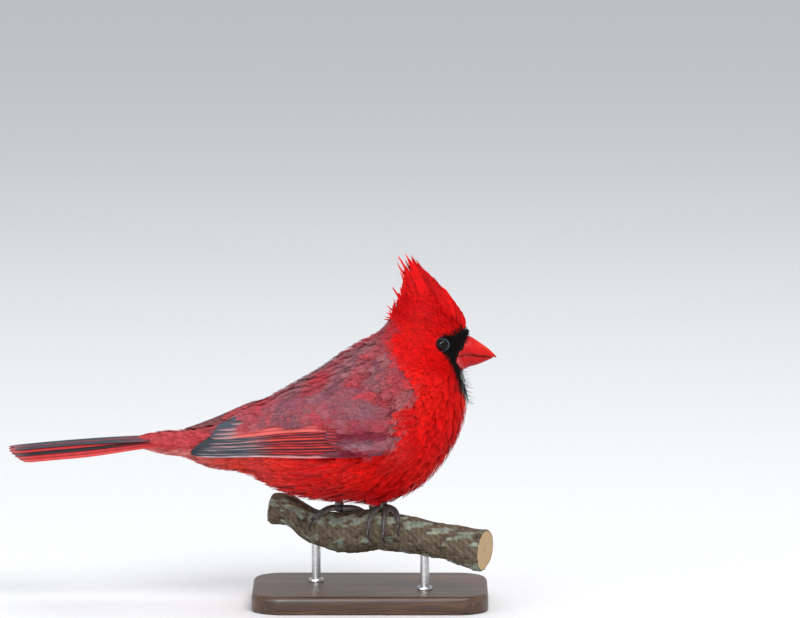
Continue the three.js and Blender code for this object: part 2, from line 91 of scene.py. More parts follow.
def area(name, loc, target, size, power, color):
    data = bpy.data.lights.new(name, "AREA")
    data.shape = "SQUARE"
    data.size = size
    data.energy = power
    data.color = color
    o = bpy.data.objects.new(name, data)
    scene.collection.objects.link(o)
    o.location = loc
    look(o, target)
    return o


area("key", (0.5, -1.0, 1.35), (0.0, 0.0, 0.09), 0.9, 18.0, (1.0, 0.985, 0.96))
area("fill", (-1.3, -0.9, 0.55), (0.0, 0.0, 0.08), 1.0, 6.0, (0.93, 0.96, 1.0))
area("top", (-0.1, 0.5, 1.6), (0.0, 0.0, 0.08), 1.2, 9.0, (1.0, 1.0, 1.0))

low = area("low", (-0.35, -1.0, 0.10), (0.0, 0.0, 0.075), 0.7, 1.7, (1.0, 0.98, 0.97))
low.data.shape = "RECTANGLE"
low.data.size_y = 0.14
catch = area("catch", (-0.42, -1.4, 0.85), (0.03, 0.0, 0.115), 0.26, 22.0, (0.92, 0.96, 1.0))
catch.visible_diffuse = False

# ---------------------------------------------------------------- form of the body
TRUNK = dict(x=-6.2, y=0, z=80.0, rx=50.2, ry=28.6, rz=28.9, pitch=22.7, k=0)
BREAST = dict(x=8.0, y=0, z=80.3, rx=28.9, ry=26.4, rz=36.1, pitch=-20.0, k=14)
BELLY = dict(x=-13.3, y=0, z=65.9, rx=20.0, ry=21.0, rz=13.0, pitch=25.0, k=12)
RUMP = dict(x=-38.0, y=0, z=76.6, rx=40.0, ry=13.6, rz=14.6, pitch=15.7, k=10)
COVERTS = dict(x=-76.0, y=0, z=70.9, rx=28.0, ry=8.2, rz=6.2, pitch=-2.5, k=8)
NECK = dict(x=12.7, y=0, z=107.8, rx=30.0, ry=17.5, rz=14.0, pitch=20.8, k=8)
HEAD = dict(x=24.6, y=0, z=120.6, rx=14.9, ry=13.6, rz=18.6, pitch=12.2, k=10)
CREST = dict(rootZ=121, tipZ=154.8, frontRoot=42.4, frontTip=16.6, bulge=5.6, backTip=13.6, backRoot=8.5, backBow=9.5, halfRoot=11.5, halfTip=0.9, k=3.5)
SWELL_R = dict(x=-46, y=3.5, z=73, rx=44, ry=11, rz=16, pitch=12, k=8)
SWELL_L = dict(x=-50, y=4, z=80.5, rx=44, ry=10.5, rz=13, pitch=20, k=8)
BILL = dict(rootX=36.5, tipX=55.6, gapeRoot=111.4, gapeTip=109.6, above=8.6, below=7.6, half=6.4)
EYE = dict(x=31.5, z=116.7, r=3.25, proud=0.75)


def smooth(a, b, x):
    t = np.clip((x - a) / (b - a), 0.0, 1.0)
    return t * t * (3 - 2 * t)


def ell(P, m):
    c, s = math.cos(math.radians(m["pitch"])), math.sin(math.radians(m["pitch"]))
    dx, dy, dz = P[..., 0] - m["x"], P[..., 1] - m["y"], P[..., 2] - m["z"]
    u, w = dx * c + dz * s, -dx * s + dz * c
    k0 = np.sqrt((u / m["rx"]) ** 2 + (dy / m["ry"]) ** 2 + (w / m["rz"]) ** 2) + 1e-9
    k1 = np.sqrt((u / m["rx"] ** 2) ** 2 + (dy / m["ry"] ** 2) ** 2 + (w / m["rz"] ** 2) ** 2) + 1e-9
    return k0 * (k0 - 1) / k1


def blend(a, b, k):
    h = np.clip(0.5 + 0.5 * (b - a) / k, 0.0, 1.0)
    return b * (1 - h) + a * h - k * h * (1 - h)


def body(P):
    d = ell(P, TRUNK)
    for m in (BREAST, BELLY, RUMP, COVERTS, NECK, HEAD):
        d = blend(d, ell(P, m), m["k"])
    return d


def crest(P, inset=0.0):
    c = CREST
    z = P[..., 2]
    tip = c["tipZ"] - inset * 3.0
    u = np.clip((z - c["rootZ"]) / (tip - c["rootZ"]), 0, 1)
    front = c["frontRoot"] + (c["frontTip"] - c["frontRoot"]) * u + c["bulge"] * u * (1 - u) - inset
    back = c["backRoot"] + (c["backTip"] - c["backRoot"]) * u + c["backBow"] * u * (1 - u) ** 2 * 2.6 + inset
    half = c["halfRoot"] + (c["halfTip"] - c["halfRoot"]) * u**0.72 - inset * 0.6
    half = np.maximum(half, 0.4)
    a = np.maximum(0.5, (front - back) / 2)
    xc = (front + back) / 2
    d = (np.sqrt(((P[..., 0] - xc) / a) ** 2 + (P[..., 1] / half) ** 2) - 1) * np.minimum(a, half)
    return np.maximum(np.maximum(d, z - tip), c["rootZ"] - z)


def bird(P):
    return blend(body(P), crest(P), CREST["k"])


def depth(P):
    """How deep the skin lies under the coat's outline."""
    x, z = P[..., 0], P[..., 2]
    d = 2.6 + 0 * x
    d = d + 1.2 * smooth(75, 60, z) * smooth(-60, -20, x)
    d = d * (1 - 0.5 * smooth(98, 112, z) * smooth(0, 12, x))
    r = np.sqrt((x - 43) ** 2 + (z - 112) ** 2 + (P[..., 1] * 0.5) ** 2)
    d = d * (0.35 + 0.65 * smooth(7, 22, r))
    d = d * (1 - 0.5 * smooth(-55, -100, x))
    return d


def skin_f(P):
    c = crest(P, 1.6)
    return blend(body(P) + depth(P), c, CREST["k"])


def grad(F, P, e=0.06):
    g = np.empty(P.shape)
    for k in range(3):
        a, b = P.copy(), P.copy()
        a[..., k] += e
        b[..., k] -= e
        g[..., k] = (F(a) - F(b)) / (2 * e)
    return g


def unit(v):
    return v / (np.linalg.norm(v, axis=-1, keepdims=True) + 1e-12)


def to_level(F, P, level, rounds=2, cap=2.0):
    for _ in range(rounds):
        g = grad(F, P)
        l2 = np.maximum((g**2).sum(-1), 0.1)
        P = P - g * (np.clip(F(P) - level, -cap, cap) / l2)[..., None]
    return P


def surface_nets(F, lo, hi, h):
    lo, hi = np.array(lo, float), np.array(hi, float)
    n = np.ceil((hi - lo) / h).astype(int) + 1
    ax = [lo[k] + h * np.arange(n[k]) for k in range(3)]
    v = np.empty(tuple(n))
    for i in range(0, n[0], 16):
        g = np.stack(np.meshgrid(ax[0][i : i + 16], ax[1], ax[2], indexing="ij"), -1)
        v[i : i + 16] = F(g)
    v[0], v[-1], v[:, 0], v[:, -1], v[:, :, 0], v[:, :, -1] = 1, 1, 1, 1, 1, 1
    s = v < 0
    corner = [(a, b, c) for c in (0, 1) for b in (0, 1) for a in (0, 1)]
    cells = np.zeros(tuple(n - 1), int)
    for a, b, c in corner:
        cells += s[a : n[0] - 1 + a, b : n[1] - 1 + b, c : n[2] - 1 + c]
    act = np.argwhere((cells > 0) & (cells < 8))
    ids = -np.ones(tuple(n - 1), int)
    ids[act[:, 0], act[:, 1], act[:, 2]] = np.arange(len(act))
    g = np.stack([v[act[:, 0] + a, act[:, 1] + b, act[:, 2] + c] for a, b, c in corner], -1)
    tot, cnt = np.zeros((len(act), 3)), np.zeros(len(act))
    for i in range(8):
        for j in range(i + 1, 8):
            if bin(i ^ j).count("1") != 1:
                continue
            cut = (g[:, i] < 0) != (g[:, j] < 0)
            den = np.where(cut, g[:, i] - g[:, j], 1)
            t = np.clip(g[:, i] / den, 0, 1)
            p = np.array(corner[i]) + t[:, None] * (np.array(corner[j]) - np.array(corner[i]))
            tot += p * cut[:, None]
            cnt += cut
    P = lo + (act + tot / cnt[:, None]) * h
    quads = []
    for q in range(3):
        a, b = (q + 1) % 3, (q + 2) % 3
        sl0, sl1 = [slice(1, -1)] * 3, [slice(1, -1)] * 3
        sl1[q] = slice(2, None)
        s0, s1 = s[tuple(sl0)], s[tuple(sl1)]
        e = np.argwhere(s0 != s1) + 1
        here = s[e[:, 0], e[:, 1], e[:, 2]]

        def cell(da, db):
            r = e.copy()
            r[:, a] -= da
            r[:, b] -= db
            return ids[r[:, 0], r[:, 1], r[:, 2]]

        ring = np.stack([cell(0, 0), cell(1, 0), cell(1, 1), cell(0, 1)], -1)
        ring[~here] = ring[~here][:, ::-1]
        quads.append(ring)
    return to_level(F, P, 0.0, 2, h * 0.5), np.concatenate(quads)


# ---------------------------------------------------------------- meshes
def new_object(name, verts, faces, smooth_shade=True):
    """verts in mm; faces is one array, or a list of arrays of tris and quads."""
    me = bpy.data.meshes.new(name)
    groups = faces if isinstance(faces, list) else [faces]
    groups = [np.asarray(f) for f in groups if len(f)]
    loops = np.concatenate([f.ravel() for f in groups])
    sizes = np.concatenate([np.full(len(f), f.shape[1]) for f in groups])
    starts = np.concatenate([[0], np.cumsum(sizes)[:-1]])
    me.vertices.add(len(verts))
    me.vertices.foreach_set("co", (np.asarray(verts) * MM).astype(np.float32).ravel())
    me.loops.add(len(loops))
    me.loops.foreach_set("vertex_index", loops.astype(np.int32))
    me.polygons.add(len(sizes))
    me.polygons.foreach_set("loop_start", starts.astype(np.int32))
    me.polygons.foreach_set("loop_total", sizes.astype(np.int32))
    me.polygons.foreach_set("use_smooth", np.full(len(sizes), smooth_shade))
    me.update(calc_edges=True)
    o = bpy.data.objects.new(name, me)
    scene.collection.objects.link(o)
    return o, loops


def put_color(o, rgb):
    a = o.data.color_attributes.new(name="Col", type="FLOAT_COLOR", domain="POINT")
    c = np.ones((len(rgb), 4), np.float32)
    c[:, :3] = rgb
    a.data.foreach_set("color", c.ravel())


def put_uv(o, name, uv_per_loop):
    layer = o.data.uv_layers.new(name=name)
    layer.data.foreach_set("uv", np.asarray(uv_per_loop, np.float32).ravel())


def done(o, material, slot, *nodes):
    o.data.materials.append(material)
    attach(o, "root")
    if nodes:
        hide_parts(*nodes)
    return o


# ---------------------------------------------------------------- colours
def srgb(r, g, b):
    c = np.array([r, g, b], float) / 255
    return np.where(c <= 0.04045, c / 12.92, ((c + 0.055) / 1.055) ** 2.4)


def waves(P, f, seed):
    """Soft pseudo-noise in -1..1 from a few turned sines."""
    r = np.random.default_rng(seed)
    t = 0
    for i in range(5):
        k = r.normal(size=3) * f * (0.7 + 0.35 * i)
        t = t + np.sin(P @ k + r.uniform(0, 6.28)) / (1 + 0.4 * i)
    return t / 2.6


def mixc(a, b, t):
    t = np.asarray(t)[..., None]
    return a * (1 - t) + b * t


RED = srgb(232, 5, 5)
DEEP = srgb(186, 2, 10)
ORANGE_RED = srgb(246, 26, 8)
CRIMSON = srgb(192, 18, 36)
MANTLE = srgb(158, 100, 106)
MANTLE_DARK = srgb(112, 70, 82)
MANTLE_RED = srgb(196, 40, 54)
ROSE = srgb(204, 72, 76)
CORAL = srgb(232, 66, 50)
MASK = srgb(16, 9, 11)
PALE = srgb(226, 150, 146)


def mask_edge(z):
    """Rear edge of the black mask, as x over z in the side view."""
    zs = np.array([90.5, 93.0, 96.5, 100.5, 104.5, 107.5, 110.0, 112.6, 114.0, 116.5, 119.0, 120.6, 122.5, 125.0])
    xs = np.array([45.0, 42.4, 40.0, 38.2, 37.0, 35.9, 34.9, 33.0, 30.6, 29.1, 31.2, 36.0, 40.6, 44.5])
    return np.interp(z, zs, xs)


def mantle_edge(z):
    zs = np.array([62, 68, 76, 84.6, 91.0, 93.4, 95.2, 100.5, 103.5, 108.6, 113.6, 118, 122, 126.3, 130.6])
    xs = np.array([8, 11, 13.6, 17.0, 15.2, 16.5, 19.2, 23.6, 23.4, 20.4, 14.0, 12.6, 16.6, 14.5, 7.0])
    return np.interp(z, zs, xs)


def markings(P):
    """Colour of skin and coat at a place on the body, the same on both sides."""
    x, y, z = P[:, 0], np.abs(P[:, 1]), P[:, 2]
    Q = np.stack([x, y, z], -1)
    n1, n2, n3 = waves(Q, 0.11, 3), waves(Q, 0.30, 5), waves(Q, 0.75, 9)
    c = mixc(np.tile(RED, (len(P), 1)), ORANGE_RED, np.clip(0.25 + 0.45 * n1, 0, 1))
    c = mixc(c, DEEP, np.clip(0.22 + 0.35 * n2 + 0.2 * n3, 0, 0.75))
    crown = smooth(118, 125, z + 0.25 * (x - 30)) * smooth(4, 12, x)
    c = mixc(c, srgb(198, 0, 8), np.clip(crown * (0.75 + 0.3 * n3), 0, 1))
    # painted shade: the lower belly blends toward darker crimson, for the shade on the underside
    low = smooth(62, 47, z) * smooth(-40, 0, x)
    c = mixc(c, CRIMSON, np.clip(low * (0.25 + 0.3 * n2), 0, 0.9))
    rear = smooth(-14, -56, x)
    under = smooth(76, 68, z)
    c = mixc(c, mixc(np.tile(CORAL, (len(P), 1)), ROSE, np.clip(0.3 + 0.5 * n2, 0, 1)), rear * under * 0.9)
    c = mixc(c, srgb(242, 160, 156), 0.68 * smooth(-52, -78, x) * smooth(74, 69, z))
    floor_z = np.interp(x, [-112, -82, -60, -30, 0, 10, 16], [71.5, 69.0, 68.0, 69.0, 71.0, 74.5, 79.0])
    man = smooth(2.2, -2.2, x - mantle_edge(z) + 1.6 * n2) * smooth(-0.8, 1.6, z - floor_z)
    m = mixc(np.tile(MANTLE, (len(P), 1)), MANTLE_DARK, np.clip(0.35 + 0.7 * n3, 0, 0.9))
    redder = np.clip(0.25 + 0.75 * n2 + 0.35 * n1 + 0.5 * smooth(-55, -85, x) + 0.35 * smooth(112, 122, z), 0, 1)
    m = mixc(m, MANTLE_RED, redder * 0.85)
    m = mixc(m, ROSE, smooth(-52, -78, x) * 0.8)
    c = mixc(c, m, man)
    front = x - mask_edge(z) + 0.5 * n3
    k = smooth(-0.5, 0.7, front) * smooth(91, 93.5, z) * smooth(124.5, 122.5, z)
    return mixc(c, MASK, k)


# ---------------------------------------------------------------- materials
def material(name, build):
    m = bpy.data.materials.new(name)
    m.use_nodes = True
    nt = m.node_tree
    b = nt.nodes["Principled BSDF"]
    build(nt, b)
    return m


def node(nt, kind, **values):
    n = nt.nodes.new(kind)
    for k, v in values.items():
        if k in n.inputs:
            n.inputs[k].default_value = v
        else:
            setattr(n, k, v)
    return n


def ramp(nt, fac, stops):
    r = nt.nodes.new("ShaderNodeValToRGB")
    nt.links.new(fac, r.inputs["Fac"])
    e = r.color_ramp.elements
    while len(e) > 1:
        e.remove(e[-1])
    e[0].position, e[0].color = stops[0][0], (*stops[0][1], 1)
    for p, c in stops[1:]:
        q = e.new(p)
        q.color = (*c, 1)
    return r.outputs["Color"]


def mult(nt, a, b, fac=1.0, mode="MULTIPLY"):
    m = nt.nodes.new("ShaderNodeMix")
    m.data_type = "RGBA"
    m.blend_type = mode
    m.inputs["Factor"].default_value = fac
    nt.links.new(a, m.inputs["A"])
    nt.links.new(b, m.inputs["B"])
    return m.outputs["Result"]


def feather_material(name, rough=0.6, scale=900.0, amount=0.35, sheen=0.25):
    def build(nt, b):
        col = node(nt, "ShaderNodeVertexColor", layer_name="Col")
        tc = node(nt, "ShaderNodeTexCoord")
        nz = node(nt, "ShaderNodeTexNoise", Scale=scale, Detail=3.0)
        nt.links.new(tc.outputs["Object"], nz.inputs["Vector"])
        lo = 1 - amount
        g = ramp(nt, nz.outputs["Fac"], [(0.25, (lo, lo, lo)), (0.75, (1.12, 1.12, 1.12))])
        nt.links.new(mult(nt, col.outputs["Color"], g), b.inputs["Base Color"])
        b.inputs["Roughness"].default_value = rough
        b.inputs["Specular IOR Level"].default_value = 0.07
        b.inputs["Sheen Weight"].default_value = sheen
        b.inputs["Sheen Roughness"].default_value = 0.5

    return material(name, build)


def blade_material(name):
    def build(nt, b):
        col = node(nt, "ShaderNodeVertexColor", layer_name="Col")
        uv = node(nt, "ShaderNodeUVMap", uv_map="Vane")
        sep = node(nt, "ShaderNodeSeparateXYZ")
        nt.links.new(uv.outputs["UV"], sep.inputs["Vector"])
        ab = node(nt, "ShaderNodeMath", operation="ABSOLUTE")
        nt.links.new(sep.outputs["X"], ab.inputs[0])
        k = node(nt, "ShaderNodeMath", operation="MULTIPLY")
        k.inputs[1].default_value = 1.25
        nt.links.new(ab.outputs[0], k.inputs[0])
        s = node(nt, "ShaderNodeMath", operation="SUBTRACT")
        nt.links.new(sep.outputs["Y"], s.inputs[0])
        nt.links.new(k.outputs[0], s.inputs[1])
        comb = node(nt, "ShaderNodeCombineXYZ")
        nt.links.new(s.outputs[0], comb.inputs["X"])
        wave = node(nt, "ShaderNodeTexNoise", Scale=1.0, Detail=2.0)
        wave.noise_dimensions = "1D"
        sc = node(nt, "ShaderNodeMath", operation="MULTIPLY")
        sc.inputs[1].default_value = 2600.0
        nt.links.new(s.outputs[0], sc.inputs[0])
        nt.links.new(sc.outputs[0], wave.inputs["W"])
        g = ramp(nt, wave.outputs["Fac"], [(0.3, (0.72, 0.72, 0.72)), (0.7, (1.15, 1.15, 1.15))])
        nt.links.new(mult(nt, col.outputs["Color"], g), b.inputs["Base Color"])
        bump = node(nt, "ShaderNodeBump", Strength=0.45, Distance=0.0002)
        nt.links.new(wave.outputs["Fac"], bump.inputs["Height"])
        nt.links.new(bump.outputs["Normal"], b.inputs["Normal"])
        b.inputs["Roughness"].default_value = 0.58
        b.inputs["Specular IOR Level"].default_value = 0.16
        b.inputs["Sheen Weight"].default_value = 0.04

    return material(name, build)


MAT_SKIN = feather_material("plumage_under", 0.75, 600.0, 0.5, 0.03)
MAT_COAT = feather_material("plumage", 0.62, 700.0, 0.24, 0.0)
MAT_VANE = blade_material("quill_vane")

# ---------------------------------------------------------------- unwrap of the body, for the bake
SPINE = np.array([(-114, 67), (-80, 71), (-50, 76), (-20, 80), (6, 88), (19, 104), (24, 121), (20, 140), (15, 157)], float)
SEG = np.diff(SPINE, axis=0)
SEG_L = np.linalg.norm(SEG, axis=1)
SEG_S = np.concatenate([[0], np.cumsum(SEG_L)])


def unwrap(P, side=None):
    """(u, v): place along the spine, and angle round it, one half of the square for each side of the body."""
    xz = P[:, [0, 2]]
    best, s_out, off = np.full(len(P), 1e9), np.zeros(len(P)), np.zeros(len(P))
    for i in range(len(SEG)):
        d = xz - SPINE[i]
        t = np.clip((d @ SEG[i]) / SEG_L[i] ** 2, 0, 1)
        r = d - t[:, None] * SEG[i]
        dist = np.linalg.norm(r, axis=1)
        up = (SEG[i][0] * r[:, 1] - SEG[i][1] * r[:, 0]) / SEG_L[i]
        take = dist < best
        best = np.where(take, dist, best)
        s_out = np.where(take, SEG_S[i] + t * SEG_L[i], s_out)
        off = np.where(take, up, off)
    ang = np.arctan2(np.abs(P[:, 1]), off) / math.pi
    if side is None:
        side = P[:, 1] > 0
    return np.stack([0.01 + 0.98 * s_out / SEG_S[-1], np.where(side, 0.51, 0.01) + 0.48 * ang], -1)


# ---------------------------------------------------------------- skin
H = 1.1
skin_P, skin_Q = surface_nets(skin_f, (-113, -32, 38), (48, 32, 153), H)
skin, skin_loops = new_object("skin", skin_P, skin_Q)
# painted shade: the underlayer takes the coat's markings at 0.8, darker for the shade beneath the feathers
put_color(skin, markings(skin_P) * 0.8)
side_of = skin_P[skin_Q].mean(1)[:, 1] > 0
put_uv(skin, "OFBake", unwrap(skin_P[skin_Q.ravel()], np.repeat(side_of, 4)))
done(skin, MAT_SKIN, "plumage", "head", "crest", "neck", "trunk", "rump")

# ---------------------------------------------------------------- lie of the coat
LIE = np.array([
    (42, 121, -0.55, 0.85), (38, 127, -0.5, 0.88), (30, 133, -0.42, 0.92), (27, 117, -0.96, 0.12), (35, 122, -0.8, 0.6),
    (33, 108, -0.8, -0.6), (18, 114, -0.95, -0.32), (22, 125, -0.75, 0.6), (12, 126, -0.8, 0.45), (4, 118, -0.82, -0.5),
    (42, 106, -0.4, -0.92), (42, 97, -0.22, -0.98), (40, 85, -0.3, -0.95), (33, 65, -0.62, -0.78), (22, 53, -0.85, -0.5),
    (5, 46, -1.0, -0.05), (5, 62, -0.88, -0.5), (-20, 55, -0.97, -0.1), (-45, 53, -0.97, 0.24), (-75, 62, -0.99, 0.12),
    (20, 85, -0.55, -0.84), (26, 100, -0.6, -0.8), (8, 103, -0.8, -0.6), (-10, 100, -0.88, -0.48), (-30, 93, -0.9, -0.42),
    (-55, 82, -0.93, -0.32), (-75, 77, -0.98, -0.2), (-95, 73, -1.0, -0.08), (24, 140, -0.4, 0.92), (18, 150, -0.3, 0.95),
])


def lie(P):
    d2 = (P[:, None, 0] - LIE[None, :, 0]) ** 2 + (P[:, None, 2] - LIE[None, :, 1]) ** 2
    w = np.exp(-d2 / (2 * 8.0**2)) + 1e-7 / (1 + d2)
    w /= w.sum(1, keepdims=True)
    v = np.zeros((len(P), 3))
    v[:, 0] = w @ LIE[:, 2]
    v[:, 2] = w @ LIE[:, 3]
    front = smooth(10, 40, P[:, 0])
    v[:, 1] = 0.22 * np.tanh(P[:, 1] / 6.0) * front * smooth(124, 110, P[:, 2])
    v[:, 1] -= 0.12 * np.tanh(P[:, 1] / 8.0) * smooth(0, -60, P[:, 0])
    v[:, 1] += 0.35 * np.tanh(P[:, 1] / 6.0) * smooth(58, 48, P[:, 2]) * 0
    return unit(v)


# ---------------------------------------------------------------- feathers of the coat
WING_EDGE = {
    -1: np.array([[15.5, 79, 84], [11, 72.5, 91], [-2, 69, 95.6], [-18, 67.9, 92.6], [-34, 67.3, 88.6], [-52, 66.8, 83.8], [-66, 66.2, 78.6], [-79, 65.5, 66.6]]),
    1: np.array([[15.5, 79, 84], [11, 73.0, 91], [-2, 70.3, 96.2], [-18, 70.8, 95.2], [-34, 72.8, 91.6], [-52, 74.6, 87.6], [-58.5, 74.8, 85.2], [-68, 75.0, 81.4], [-82.5, 74.6, 76.6]]),
}


def in_wing(P):
    """How far inside a wing's outline a place is, in mm of the side view; negative outside."""
    out = np.full(len(P), -50.0)
    for side, e in WING_EDGE.items():
        e = e[::-1]
        lo, hi = np.interp(P[:, 0], e[:, 0], e[:, 1]), np.interp(P[:, 0], e[:, 0], e[:, 2])
        d = np.minimum(np.minimum(P[:, 2] - lo, hi - P[:, 2]), np.minimum(15.5 - P[:, 0], P[:, 0] - e[0, 0]))
        on = (np.sign(P[:, 1]) == side) & (np.abs(P[:, 1]) > 7)
        out = np.where(on, d, out)
    return out


def scatter(P, Q, spacing, where, tries=9):
    """Even random places on the skin, at least spacing(p) apart."""
    A, B, C, D = (P[Q[:, i]] for i in range(4))
    cen = (A + B + C + D) / 4
    keep = where(cen)
    A, B, C, D, cen = A[keep], B[keep], C[keep], D[keep], cen[keep]
    if not len(cen):
        return np.zeros((0, 3))
    ar = 0.5 * np.linalg.norm(np.cross(C - A, D - B), axis=1)
    sp = spacing(cen)
    want = ar / sp**2 * tries * 0.35
    n = rng.poisson(want)
    i = np.repeat(np.arange(len(cen)), n)
    u, v = rng.random(len(i))[:, None], rng.random(len(i))[:, None]
    pts = (A[i] * (1 - u) + B[i] * u) * (1 - v) + (D[i] * (1 - u) + C[i] * u) * v
    order = rng.permutation(len(pts))
    pts, sp = pts[order], sp[i][order]
    cell = float(sp.max())
    grid, out = {}, []
    keys = np.floor(pts / cell).astype(int)
    pl, kl, sl = pts.tolist(), keys.tolist(), sp.tolist()
    near = [(a, b, c) for a in (-1, 0, 1) for b in (-1, 0, 1) for c in (-1, 0, 1)]
    for j in range(len(pl)):
        x, y, z = pl[j]
        kx, ky, kz = kl[j]
        r2 = sl[j] ** 2
        ok = True
        for a, b, c in near:
            for q in grid.get((kx + a, ky + b, kz + c), ()):
                if (q[0] - x) ** 2 + (q[1] - y) ** 2 + (q[2] - z) ** 2 < r2:
                    ok = False
                    break
            if not ok:
                break
        if ok:
            grid.setdefault((kx, ky, kz), []).append((x, y, z))
            out.append(j)
    return pts[out]


class Coat:
    """Collects feathers made of tapered barbs along a curved shaft."""

    def __init__(self, name, slot="plumage", mat=None):
        self.name, self.slot, self.mat = name, slot, mat or MAT_COAT
        self.v, self.f4, self.f3, self.c, self.uv, self.n = [], [], [], [], [], 0

    def add(self, V, quads, tris, col, uv):
        self.v.append(V)
        self.c.append(col)
        self.uv.append(uv)
        if quads is not None and len(quads):
            self.f4.append(quads + self.n)
        if tris is not None and len(tris):
            self.f3.append(tris + self.n)
        self.n += len(V)

    def finish(self, *nodes):
        V = np.concatenate(self.v)
        faces = []
        if self.f4:
            faces.append(np.concatenate(self.f4))
        if self.f3:
            faces.append(np.concatenate(self.f3))
        o, loops = new_object(self.name, V, faces)
        put_color(o, np.concatenate(self.c))
        put_uv(o, "OFBake", np.concatenate(self.uv)[loops])
        done(o, self.mat, self.slot, *nodes)
        return o


def feathers(coat, R, length, half, barbs, lift0, lift1, droop=0.0, F=bird, fringe=0.0, spread=1.0, jitter=0.12, flow=lie, extra=None, col=None, width=None, rough=0.07, vary=0.08, pointed=0.0):
    """R: roots (n,3). length, half: per-feather sizes in mm. lift: level of shaft's start and end over the outline."""
    n = len(R)
    if n == 0:
        return
    K = 5
    ts = np.linspace(0, 1, K)
    C, T, N = np.empty((n, K, 3)), np.empty((n, K, 3)), np.empty((n, K, 3))
    p = R.copy()
    turn = rng.normal(0, jitter, n)
    curl = rng.normal(0, jitter * 0.8, n)
    lj = rng.normal(0, 0.06, n)
    for k in range(K):
        g = unit(grad(F, p))
        d = flow(p)
        d = d - (d * g).sum(1, keepdims=True) * g
        d = unit(d)
        side = np.cross(g, d)
        a = (turn + curl * ts[k])[:, None]
        d = unit(d * np.cos(a) + side * np.sin(a))
        C[:, k], T[:, k], N[:, k] = p, d, g
        if k < K - 1:
            p = p + d * (length / (K - 1))[:, None]
            t = ts[k + 1]
            lev = lift0 + (lift1 - lift0) * t**0.8 + lj * t
            if extra is not None:
                lev = lev + extra(p) * t
            p = to_level(F, p, lev, 1, 3.0)
    plume(coat, R, C, T, N, length, half, barbs, droop, fringe, spread, col, width, pointed, rough, vary)


def plume(coat, R, C, T, N, length, half, barbs, droop=0.0, fringe=0.0, spread=1.0, col=None, width=None, pointed=0.0, rough=0.07, vary=0.08):
    """Barbs along shafts C (n, K, 3) with tangents T and normals N."""
    n, K = C.shape[:2]
    S = unit(np.cross(N, T))
    root_uv = unwrap(R)
    base = markings(R) if col is None else col
    tone = np.clip(1 + rng.normal(0, vary, n), 0.7, 1.3)[:, None]
    base = base * tone
    # barbs: side, where each leaves the shaft, where it ends
    m = barbs
    j = np.arange(m)
    sgn = np.where(j % 2 == 0, 1.0, -1.0)
    t0 = np.broadcast_to(0.12 + 0.80 * (j / (m - 1)) ** 0.9, (n, m)) + rng.normal(0, 0.02, (n, m))
    reach = 0.30 + rng.normal(0, 0.05, (n, m))
    t1 = np.minimum(t0 + reach * (1.05 - 0.45 * t0), 1.0 + 0.06 * rng.random((n, m)))
    prof = np.sqrt(np.clip(1 - ((t1 - 0.52) / 0.56) ** 2, 0.0, 1)) * 0.92 + 0.08
    prof = prof * (1 - pointed) + pointed * np.clip(1.04 - t1, 0.02, 1) ** 0.75
    lat1 = sgn * half[:, None] * prof * spread * (1 + rng.normal(0, 0.10, (n, m)))

    def at(t):
        q = np.clip(t, 0, 1.08) * (K - 1)
        i = np.minimum(q.astype(int), K - 2)
        w = (q - i)[..., None]
        r = np.arange(n)[:, None]
        return (C[r, i] * (1 - w) + C[r, i + 1] * w, N[r, i] * (1 - w) + N[r, i + 1] * w, S[r, i] * (1 - w) + S[r, i + 1] * w, T[r, i] * (1 - w) + T[r, i + 1] * w)

    bw = (half * 0.42 if width is None else width)[:, None] * np.ones((1, m)) * np.clip(1 + rng.normal(0, 0.2, (n, m)), 0.5, 1.6)
    tm = t0 * 0.45 + t1 * 0.55
    rows = []
    for t, lat, w in ((t0, 0.04 * lat1, bw * 0.55), (tm, 0.62 * lat1, bw * 0.5), (t1, lat1, None)):
        c, nn, ss, tt = at(t)
        x = lat / half[:, None]
        c = c + ss * lat[..., None] + nn * (-0.10 * half[:, None] * x**2 - droop * t)[..., None] + nn * (rng.normal(0, rough, (n, m)))[..., None]
        if w is None:
            rows.append(c)
        else:
            # the ribbon's width lies across its own run
            run = unit(tt * (t1 - t0)[..., None] * length[:, None, None] + ss * lat1[..., None])
            across = unit(np.cross(nn, run))
            rows.append(c + across * (w * 0.5)[..., None])
            rows.append(c - across * (w * 0.5)[..., None])
    V = np.stack(rows, 2).reshape(-1, 3)  # n, m, 5
    q = np.arange(n * m)[:, None] * 5
    quads = q + np.array([[0, 1, 3, 2]])
    tris = q + np.array([[2, 3, 4]])
    tone_b = np.clip(1 + rng.normal(0, 0.10, (n, m, 1)), 0.7, 1.3)
    cc = np.empty((n, m, 5, 3))
    # painted shade and light along each barb: 0.88 at its root, where the feathers above shade it, up to 1.05 at its
    # tip
    shade = (0.88, 0.88, 1.0, 1.0, 1.05)
    for k in range(5):
        cc[:, :, k] = base[:, None] * tone_b * shade[k]
    if np.ndim(fringe) or fringe > 0:
        fr = np.broadcast_to(fringe, (n,))[:, None, None] * (0.5 + 0.5 * rng.random((n, m, 1)))
        cc[:, :, 4] = cc[:, :, 4] * (1 - fr) + PALE * fr
        cc[:, :, 2] = cc[:, :, 2] * (1 - fr * 0.25) + PALE * fr * 0.25
        cc[:, :, 3] = cc[:, :, 3] * (1 - fr * 0.25) + PALE * fr * 0.25
    uv = np.empty((n, m, 5, 2))
    for k, (t, lat) in enumerate(((t0, 0.04 * lat1), (t0, 0.04 * lat1), (tm, 0.62 * lat1), (tm, 0.62 * lat1), (t1, lat1))):
        uv[:, :, k, 0] = root_uv[:, None, 0] + 0.0014 * lat / half[:, None] + (0.0001 if k % 2 else -0.0001)
        uv[:, :, k, 1] = root_uv[:, None, 1] + 0.0028 * (t - 0.5)
    coat.add(V, quads, tris, cc.reshape(-1, 3), uv.reshape(-1, 2))


